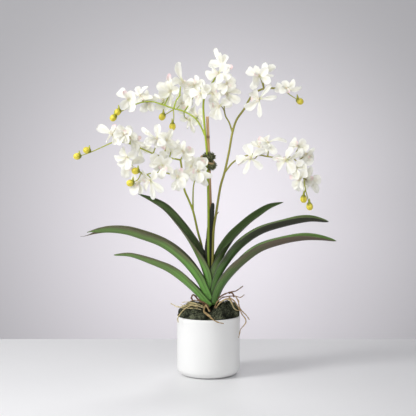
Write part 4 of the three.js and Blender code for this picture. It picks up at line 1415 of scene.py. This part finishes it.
def flower_shell(heart, turn, tips, lip):
    """The petals of a flower, its lip and its heart."""
    shell = Shell()
    heart = Vector(heart)
    face = facing(*turn)
    for right, up in tips:
        tip = petal_tip(right, up, face, PETAL_LENGTHS)
        narrowing = PETAL_NARROWING if tip.length > PETAL_NARROW_LENGTH else 1
        width = PETAL_WIDTH * dice.uniform(*PETAL_SPREAD) * narrowing
        petal(shell, heart, tip, face, width, dice.uniform(*PETAL_ARCH), dice.uniform(*PETAL_CUP), 0)
    tip = petal_tip(*lip, face, LIP_LENGTHS)
    petal(shell, heart + face, tip, face, LIP_WIDTH, arch=2.5, cup=1.8, tint=1.0)
    heart_of(shell, heart, face, tip)
    return shell


print("a lip is", LIP_WIDTH, "mm wide")

# %% Mix the petal finish
PETAL_WHITE = colour(255, 255, 254)
PETAL_IVORY = colour(244, 243, 228)
PETAL_FOOT = colour(232, 234, 186)
PETAL_PINK = colour(250, 214, 224)
COLUMN_CREAM = colour(248, 240, 206)
COLUMN_FLECK = colour(204, 158, 146)
PETAL_GLOW = colour(254, 253, 245)
GLOW_SHARE = 0.5

def petal_finish():
    """Ivory down the middle, white outward, green at the foot and pink on a lip's tip."""
    thin = Finish("petal_tissue")
    share, across, tint = thin.mark("mark")
    fan = thin.vector(across * 9, share * 1.2, 0.0)
    veins = thin.grain(fan, scale=1.0, detail=3.0)
    edge = abs(across)
    middle = edge.between(0.85, 0.1) * share.between(1.0, 0.55)
    ivory = (0.7 * middle + 0.4 * veins.between(0.45, 0.75)).between(0.0, 1.1)
    white = thin.mix(ivory, PETAL_WHITE, PETAL_IVORY)
    footed = thin.mix(share.between(0.26, 0.04), white, PETAL_FOOT)
    blush = share.between(0.5, 0.95) * tint.between(0.05, 1.0)
    petal_colour = thin.mix(blush * 0.9, footed, PETAL_PINK)
    flecks = thin.grain(thin.place(), scale=700, detail=2.0).between(0.5, 0.6)
    column_colour = thin.mix(flecks * 0.6, COLUMN_CREAM, COLUMN_FLECK)
    thin.set(base_color=thin.mix(tint.between(1.4, 1.6), petal_colour, column_colour), roughness=0.6)
    thin.bump(veins, distance=0.0006, strength=0.5)
    thin.let_light_through(PETAL_GLOW, GLOW_SHARE)
    return thin


thin_petal = petal_finish()
print("a petal lets", GLOW_SHARE, "of the light through")

# %% Make the flowers
for flower_name, (carrier, heart, turn, tips, lip) in FLOWERS.items():
    shell = flower_shell(heart, turn, tips, lip)
    nodes = ["flower_" + flower_name] if "flower_" + flower_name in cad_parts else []
    make_piece("bloom_" + flower_name, shell, [thin_petal], nodes)
print("one flower has", len(shell.faces), "faces")

# %% [markdown]
# ## Buds
#
# The tips of the sprays end in fat yellow-green buds, five-sided like the folded petals
# inside, each with a small green spike on its crown. A bud is an outline turned round an
# axis with a five-fold ripple, then laid along the way it points. Twig, buds and spikes
# share one mesh, because they grew as one.

# %% List the bud twigs
# lines: the twig and its second fork. buds: (middle, direction) of each.
BUD_TWIGS = {
    "upper_left_end": {
        "lines": [[(-154.4, 8, 501.7), (-163, 7, 497), (-173, 6, 490)]],
        "buds": [((-170, 7, 496), (-0.6, 0, -0.6)), ((-178, 5, 485), (-0.7, 0, -0.7))],
    },
    "upper_left_middle": {
        "lines": [[(-65.6, 6.2, 500.2), (-72, 3, 496), (-80, 0, 491), (-85, -2, 488)],
                  [(-65.6, 6.2, 500.2), (-65, 4, 486), (-66, 3, 474)]],
        "buds": [((-86, -3, 487), (-0.5, 0, -0.8)), ((-67, 3, 469), (0, 0, -1))],
    },
    "lower_left_end": {
        "lines": [[(-200.4, -18.1, 428.7), (-215, -20, 422), (-228, -21, 417), (-238, -21, 414)]],
        "buds": [((-225, -21, 424), (-0.9, 0, 0.2)), ((-243, -21, 413), (-1, 0, -0.1))],
    },
    "lower_left_inner": {
        "lines": [[(-119.9, -28.8, 378), (-124, -40, 382), (-129, -55, 386), (-131, -60, 387)],
                  [(-124, -40, 382), (-130, -52, 370), (-140, -57, 366)]],
        "buds": [((-132, -62, 387), (-1, 0, 0)), ((-142, -58, 365), (-1, 0, -0.3))],
    },
    "upper_right_end": {
        "lines": [[(144.5, 5.9, 533.7), (155, 5, 526), (166, 4, 519)]],
        "buds": [((171, 4, 516), (0.8, 0, -0.5))],
    },
    "lower_right_end": {
        "lines": [[(176.1, -34, 372.4), (179, -36, 352), (184, -36, 334), (187, -36, 322)],
                  [(179, -36, 352), (177, -37, 345), (176, -37, 338)]],
        "buds": [((176, -37, 335), (0, 0, -1)), ((187, -36, 321), (0.2, 0, -1))],
    },
}
BUD_OUTLINE = [(0, -7.6), (1.9, -7.2), (3.6, -5.6), (5.1, -3.0), (5.9, -0.2), (5.7, 2.6), (4.6, 5.2),
               (2.8, 6.9), (1.3, 7.6), (0, 7.7)]
BUD_SIDES = 30
BUD_LOBES = 5
BUD_LOBE_DEPTH = 0.7
BUD_MARK = 1
TWIG_MARK = 0
TWIG_RADIUS = (1.1, 0.8)
TWIG_STEPS = 14
SPIKE_LENGTH = 9
SPIKE_RADIUS = (2.9, 0.58)
SPIKE_SWAY = (-0.2, 0.2)
SPIKE_NOD = -0.1
CROWN_BACK = 4
CROWN_RISE = 1.5
print(sum(len(twig["buds"]) for twig in BUD_TWIGS.values()), "buds")

# %% Shape a bud
def ribbed(turn):
    """The five soft ribs of a bud."""
    return BUD_LOBE_DEPTH * math.cos(BUD_LOBES * turn)


def bud(shell, middle, towards):
    """A ribbed bud that points its own way, with a spike on its crown that points up."""
    upright = Shell()
    lathe(upright, BUD_OUTLINE, BUD_SIDES, ribbed)
    middle = Vector(middle)
    aim = Vector(towards).normalized()
    length = BUD_OUTLINE[-1][1] * 2 * MM
    shell.take(upright, aim.to_track_quat("Z", "Y"), middle * MM,
               lambda place: (0.5 + place.z / length, 0, BUD_MARK))
    crown = middle - aim * CROWN_BACK + UP * CROWN_RISE
    tip = crown + Vector((dice.uniform(*SPIKE_SWAY), SPIKE_NOD, 1)).normalized() * SPIKE_LENGTH
    spike = [place * MM for place in (crown, crown.lerp(tip, 0.5), tip)]
    shell.tube(spike, taper(SPIKE_RADIUS), sides=8, mark=(0, 0, TWIG_MARK))


print("a bud has", BUD_LOBES, "ribs")

# %% Make the buds
BUD_GREENS = colour(96, 104, 24), colour(140, 138, 34)
BUD_YELLOWS = colour(196, 178, 34), colour(244, 230, 92)
TWIG_GREEN = colour(168, 172, 52)
BUD_FADE = (0.08, 0.5)

bud_finish = Finish("bud_skin")
bud_share, _, is_bud = bud_finish.mark("mark")
bud_mottle = bud_finish.grain(bud_finish.place(), scale=260, detail=3.0)
bud_foot = bud_finish.mix(bud_mottle, *BUD_GREENS)
bud_crown = bud_finish.mix(bud_mottle, *BUD_YELLOWS)
bud_ripeness = (bud_share + 0.5 * (bud_mottle - 0.5)).between(*BUD_FADE)
bud_colour = bud_finish.mix(bud_ripeness, bud_foot, bud_crown)
bud_finish.set(base_color=bud_finish.mix(is_bud, TWIG_GREEN, bud_colour), roughness=0.5)
bud_finish.bump(bud_mottle, distance=0.0004, strength=0.4)

for twig_name, twig in BUD_TWIGS.items():
    shell = Shell()
    for points in twig["lines"]:
        shell.tube(smooth_line(points, TWIG_STEPS), taper(TWIG_RADIUS), sides=10, mark=(0, 0, TWIG_MARK))
    for middle, towards in twig["buds"]:
        bud(shell, middle, towards)
    make_piece("bud_twig_" + twig_name, shell, [bud_finish], ["buds_" + twig_name])
print("bud twigs:", ", ".join(BUD_TWIGS))

# %% [markdown]
# ## Roots
#
# Orchid roots wander in the air. They are knobbly, fork, and are silvery tan where they are
# dry and brown where the skin has broken. Each root is a few smooth lines; the tube along a
# line swells and shrinks with noise, and the finish reads how brown each strand is.

# %% List the roots
# each strand: (radius, how brown it is from 0 to 1, points)
ROOTS = {
    "root_left_high": [
        (1.0, 0.1, [(-8, -20, 131), (-18, -22, 136), (-29, -20, 139), (-42, -18, 140), (-50, -17, 139)]),
        (0.9, 0.0, [(-16, -20, 131), (-24, -24, 137), (-36, -22, 138), (-46, -24, 134), (-52, -20, 136)]),
        (2.1, 1.0, [(-4, -16, 131), (-12, -14, 140), (-20, -10, 144), (-25, -8, 150), (-29, -9, 152),
                    (-32, -11, 147), (-29, -13, 142)]),
        (1.1, 0.7, [(-8, -14, 134), (-17, -15, 141), (-27, -16, 143), (-34, -16, 141)]),
    ],
    "root_left_low": [
        (1.1, 0.1, [(-8, -24, 129), (-21, -27, 134), (-35, -26, 136), (-44, -25, 133), (-57, -22, 131),
                    (-65, -18, 134), (-71, -16, 137)]),
        (1.0, 0.0, [(-14, -28, 127), (-27, -32, 130), (-38, -30, 130), (-48, -27, 130), (-58, -22, 133)]),
        (1.3, 0.2, [(-20, -26, 131), (-31, -28, 135), (-40, -33, 132), (-48, -37, 126), (-54, -40, 119),
                    (-57, -39, 112), (-56, -40, 105)]),
    ],
    "root_front": [
        (1.5, 0.45, [(-4, -18, 134), (-6, -26, 133), (-8, -34, 128), (-8, -42, 125), (-4, -50, 122),
                     (3, -57, 118), (10, -62, 113), (19, -64, 109), (28, -63, 107)]),
        (0.9, 0.3, [(-7, -40, 125), (-1, -47, 122), (4, -53, 119), (12, -58, 116)]),
        (1.5, 0.3, [(-5, -24, 135), (-1, -32, 130), (2, -39, 125)]),
        (1.8, 1.0, [(-16, -14, 140), (-9, -19, 139), (-2, -22, 135), (1, -24, 130)]),
    ],
    "root_right_high": [
        (1.3, 0.7, [(12, -18, 128), (15, -20, 138), (20, -22, 144), (26, -22, 149), (33, -20, 150),
                    (41, -18, 151), (50, -17, 151), (60, -20, 149), (67, -22, 154)]),
        (1.5, 0.9, [(18, -14, 146), (27, -17, 153), (36, -17, 157), (44, -16, 159), (51, -14, 160),
                    (58, -12, 164), (65, -11, 169)]),
        (1.9, 0.9, [(38, -17, 157), (44, -17, 157), (47, -18, 153), (48, -19, 149)]),
        (1.2, 0.5, [(51, -18, 150), (56, -20, 142), (57, -22, 135), (60, -22, 127), (65, -20, 121),
                    (71, -18, 115), (77, -16, 106)]),
    ],
    "root_right_low": [
        (1.4, 0.3, [(14, -22, 128), (20, -27, 138), (28, -30, 145), (37, -31, 148), (43, -30, 144),
                    (45, -29, 137), (48, -28, 130), (52, -27, 126), (59, -25, 125)]),
        (1.1, 0.1, [(34, -29, 147), (40, -33, 145), (44, -33, 138), (47, -32, 131), (52, -30, 127)]),
        (1.3, 0.5, [(38, -22, 150), (49, -25, 142), (54, -27, 134), (59, -28, 126), (63, -29, 118),
                    (69, -28, 110), (70, -27, 103), (66, -28, 97), (60, -30, 90), (58, -32, 82),
                    (56, -34, 75)]),
    ],
}
ROOT_END = 0.65
ROOT_STEPS = 60
ROOT_SIDES = 10
KNOB_TURNS = 14
KNOB_HEIGHT = 0.6
KNOB_SEEDS = (0, 50)
print(sum(len(strands) for strands in ROOTS.values()), "strands of root")

# %% Finish the roots
ROOT_PALE = colour(196, 178, 124), colour(214, 202, 156)
ROOT_TAN = colour(140, 114, 76), colour(188, 160, 112)
ROOT_BROKEN = colour(76, 52, 38), colour(128, 94, 66)
PATCH_FADE = (0.35, 0.65)
TAN_FADE = (0.1, 0.4)
BROKEN_FADE = (0.5, 0.85)

root_finish = Finish("root_skin")
_, root_tone, _ = root_finish.mark("mark")
root_patch = root_finish.grain(root_finish.place(), scale=110, detail=3.0)
root_fibre = root_finish.grain(root_finish.place(), scale=600, detail=4.0)
root_pale = root_finish.mix(root_patch.between(*PATCH_FADE), *ROOT_PALE)
root_tan = root_finish.mix(root_fibre, *ROOT_TAN)
root_broken = root_finish.mix(root_fibre, *ROOT_BROKEN)
root_mask = root_tone + 0.9 * (root_patch - 0.5)
root_dry = root_finish.mix(root_mask.between(*TAN_FADE), root_pale, root_tan)
root_colour = root_finish.mix(root_mask.between(*BROKEN_FADE), root_dry, root_broken)
root_finish.set(base_color=root_colour, roughness=0.8)
root_finish.bump(0.5 * root_fibre + 0.5 * root_patch, distance=0.001, strength=0.7)
print("roots go from pale to tan to broken brown")

# %% Make the roots
def root_radius(thick, knob_seed):
    """The radius along a root, which swells and shrinks and thins towards the tip."""
    def at(share):
        knob = noise.noise(Vector((share * KNOB_TURNS, knob_seed, 0)))
        return thick * blend((1, ROOT_END), share) * (1 + KNOB_HEIGHT * knob)
    return at


for root_name, strands in ROOTS.items():
    shell = Shell()
    for thick, tone, points in strands:
        seed = dice.uniform(*KNOB_SEEDS)
        line = smooth_line(points, ROOT_STEPS)
        shell.tube(line, root_radius(thick, seed), ROOT_SIDES, mark=(0, tone, 0))
    make_piece("aerial_" + root_name, shell, [root_finish], [root_name])
print("roots:", ", ".join(ROOTS))

# %% [markdown]
# ## Cane and tie
#
# A thin bamboo cane holds the centre stem. Bamboo shows a swollen ring at each node, the top
# one darker, and a cut end on top. Two tufts of moss and a turn of twisted raffia tie the stem to it.

# %% Make the cane
CANE_LINE = [(14, 29, 40), (-2, 4, 487)]
CANE_RADIUS = 2.9
CANE_TAPER = (1.03, 0.93)
CANE_STEPS = 160
CANE_NODES = (0.28, 0.62, 0.914)
NODE_SWELL = 0.55
NODE_LENGTH = 0.006
CANE_STREAKS = (700, 700, 14)
CANE_HIGH = colour(190, 150, 104), colour(214, 180, 132)
CANE_LOW = colour(150, 112, 78), colour(176, 138, 98)
CANE_FADE = (0.55, 0.8)
RING_BROWN = colour(92, 66, 42)
RING_START = (0.905, 0.913)
RING_END = (0.925, 0.915)

def cane_radius(share):
    """The radius along the cane, with a swollen ring at each node."""
    swell = sum(math.exp(-((share - ring) / NODE_LENGTH) ** 2) for ring in CANE_NODES)
    return CANE_RADIUS * blend(CANE_TAPER, share) + NODE_SWELL * swell


cane_finish = Finish("bamboo")
cane_share, _, _ = cane_finish.mark("mark")
cane_streak = cane_finish.streaks(CANE_STREAKS)
cane_high = cane_finish.mix(cane_streak, *CANE_HIGH)
cane_low = cane_finish.mix(cane_streak, *CANE_LOW)
cane_body = cane_finish.mix(cane_share.between(*CANE_FADE), cane_low, cane_high)
ring_mask = cane_share.between(*RING_START) * cane_share.between(*RING_END)
cane_finish.set(base_color=cane_finish.mix(ring_mask * 0.7, cane_body, RING_BROWN), roughness=0.5)
cane_finish.bump(cane_streak, distance=0.0003, strength=0.4)

cane_shell = Shell()
cane_shell.tube(smooth_line(CANE_LINE, CANE_STEPS), cane_radius, sides=20)
make_piece("bamboo_cane", cane_shell, [cane_finish], ["bamboo_stake"])
print("cane has", len(CANE_NODES), "nodes")

# %% Make the tufts of the tie
# each tuft: its middle and its reach on each axis
TIE_TUFTS = {
    "tie_moss_upper": ((1, 4, 412), (11, 10, 7)),
    "tie_moss_lower": ((3, 4, 395), (11, 10, 8)),
}
TUFT_RINGS = 36
TUFT_SIDES = 60
TUFT_SHOOTS = 420
TUFT_SINK = 0.93
TUFT_FINENESS = 1.6
TUFT_KNOB = 4.6
TUFT_KNOB_LEVEL = 0.7
TUFT_CRUMB = 3.2
TUFT_CRUMB_LEVEL = 0.6
TUFT_MARKS = (0.45, 1), (0.2, 1)
# the tufts' darkest colour is painted shade in their dips and at the feet of their shoots; the palest is
# their greyer tips
TUFT_TONES_AND_PAINTED_SHADE = colour(22, 25, 17), colour(74, 80, 54), colour(160, 164, 124)

def tuft_place(middle, reach, tilt, turn):
    """A place on a tuft, in metres, and its mark."""
    out = Vector((math.sin(tilt) * math.cos(turn), math.sin(tilt) * math.sin(turn), math.cos(tilt)))
    base = middle + Vector(a * b for a, b in zip(out, reach))
    clump, crumb = moss_swell(base * TUFT_FINENESS)
    swell = (clump - TUFT_KNOB_LEVEL) * TUFT_KNOB + (crumb - TUFT_CRUMB_LEVEL) * TUFT_CRUMB
    return (base + out * swell) * MM, (blend(TUFT_MARKS[0], clump), blend(TUFT_MARKS[1], crumb), 0)


tie_moss_finish = moss_of("tie_moss", TUFT_TONES_AND_PAINTED_SHADE)
for tuft_name, (middle, reach) in TIE_TUFTS.items():
    middle = Vector(middle)
    shell = Shell()
    rows = []
    for ring in range(TUFT_RINGS + 1):
        tilt = math.pi * ring / TUFT_RINGS
        ring_turns = turns(TUFT_SIDES if 0 < ring < TUFT_RINGS else 1)
        rows.append([shell.add(*tuft_place(middle, reach, tilt, turn)) for turn in ring_turns])
    shell.skin(rows, TUFT_SIDES, flip=True)
    for _ in range(TUFT_SHOOTS):
        out = Vector([dice.gauss(0, 1) for _ in range(3)]).normalized()
        foot = middle + Vector(a * b * TUFT_SINK for a, b in zip(out, reach))
        shoot(shell, foot, out, dice.uniform(*SHOOT_TONE))
    make_piece("soft_" + tuft_name, shell, [tie_moss_finish], [tuft_name])
print("tufts:", ", ".join(TIE_TUFTS))

# %% Make the raffia
RAFFIA_MIDDLE = Vector((-1.5, 2.5, 406))
RAFFIA_RADIUS = 13.2
RAFFIA_STRANDS = 3
RAFFIA_STRAND = (1.3, 1.3)
RAFFIA_WIND = 0.7
RAFFIA_TWISTS = 9
RAFFIA_STEPS = 90
RAFFIA_NOD = Matrix.Rotation(math.radians(18), 3, "X")
RAFFIA_SLANT = Matrix.Rotation(math.radians(28), 3, "Y")
RAFFIA_SHADES = colour(172, 140, 96), colour(214, 190, 146)

def raffia_line(strand):
    """One strand of the loop, wound round the others."""
    line = []
    for step in range(RAFFIA_STEPS + 1):
        angle = 2 * math.pi * step / RAFFIA_STEPS
        twist = RAFFIA_TWISTS * angle + 2 * math.pi * strand / RAFFIA_STRANDS
        reach = RAFFIA_RADIUS + RAFFIA_WIND * math.cos(twist)
        place = round_place(reach, angle, RAFFIA_WIND * math.sin(twist))
        line.append((RAFFIA_MIDDLE + (RAFFIA_SLANT @ RAFFIA_NOD) @ place) * MM)
    return line


raffia_finish = Finish("raffia_fibre")
raffia_streak = raffia_finish.grain(raffia_finish.place(), scale=900, detail=3.0)
raffia_finish.set(base_color=raffia_finish.mix(raffia_streak, *RAFFIA_SHADES), roughness=0.75)
raffia_shell = Shell()
for strand in range(RAFFIA_STRANDS):
    raffia_shell.tube(raffia_line(strand), taper(RAFFIA_STRAND), sides=8)
make_piece("twisted_raffia", raffia_shell, [raffia_finish], ["tie_raffia"])
print("the raffia is a loop of", RAFFIA_STRANDS, "strands")
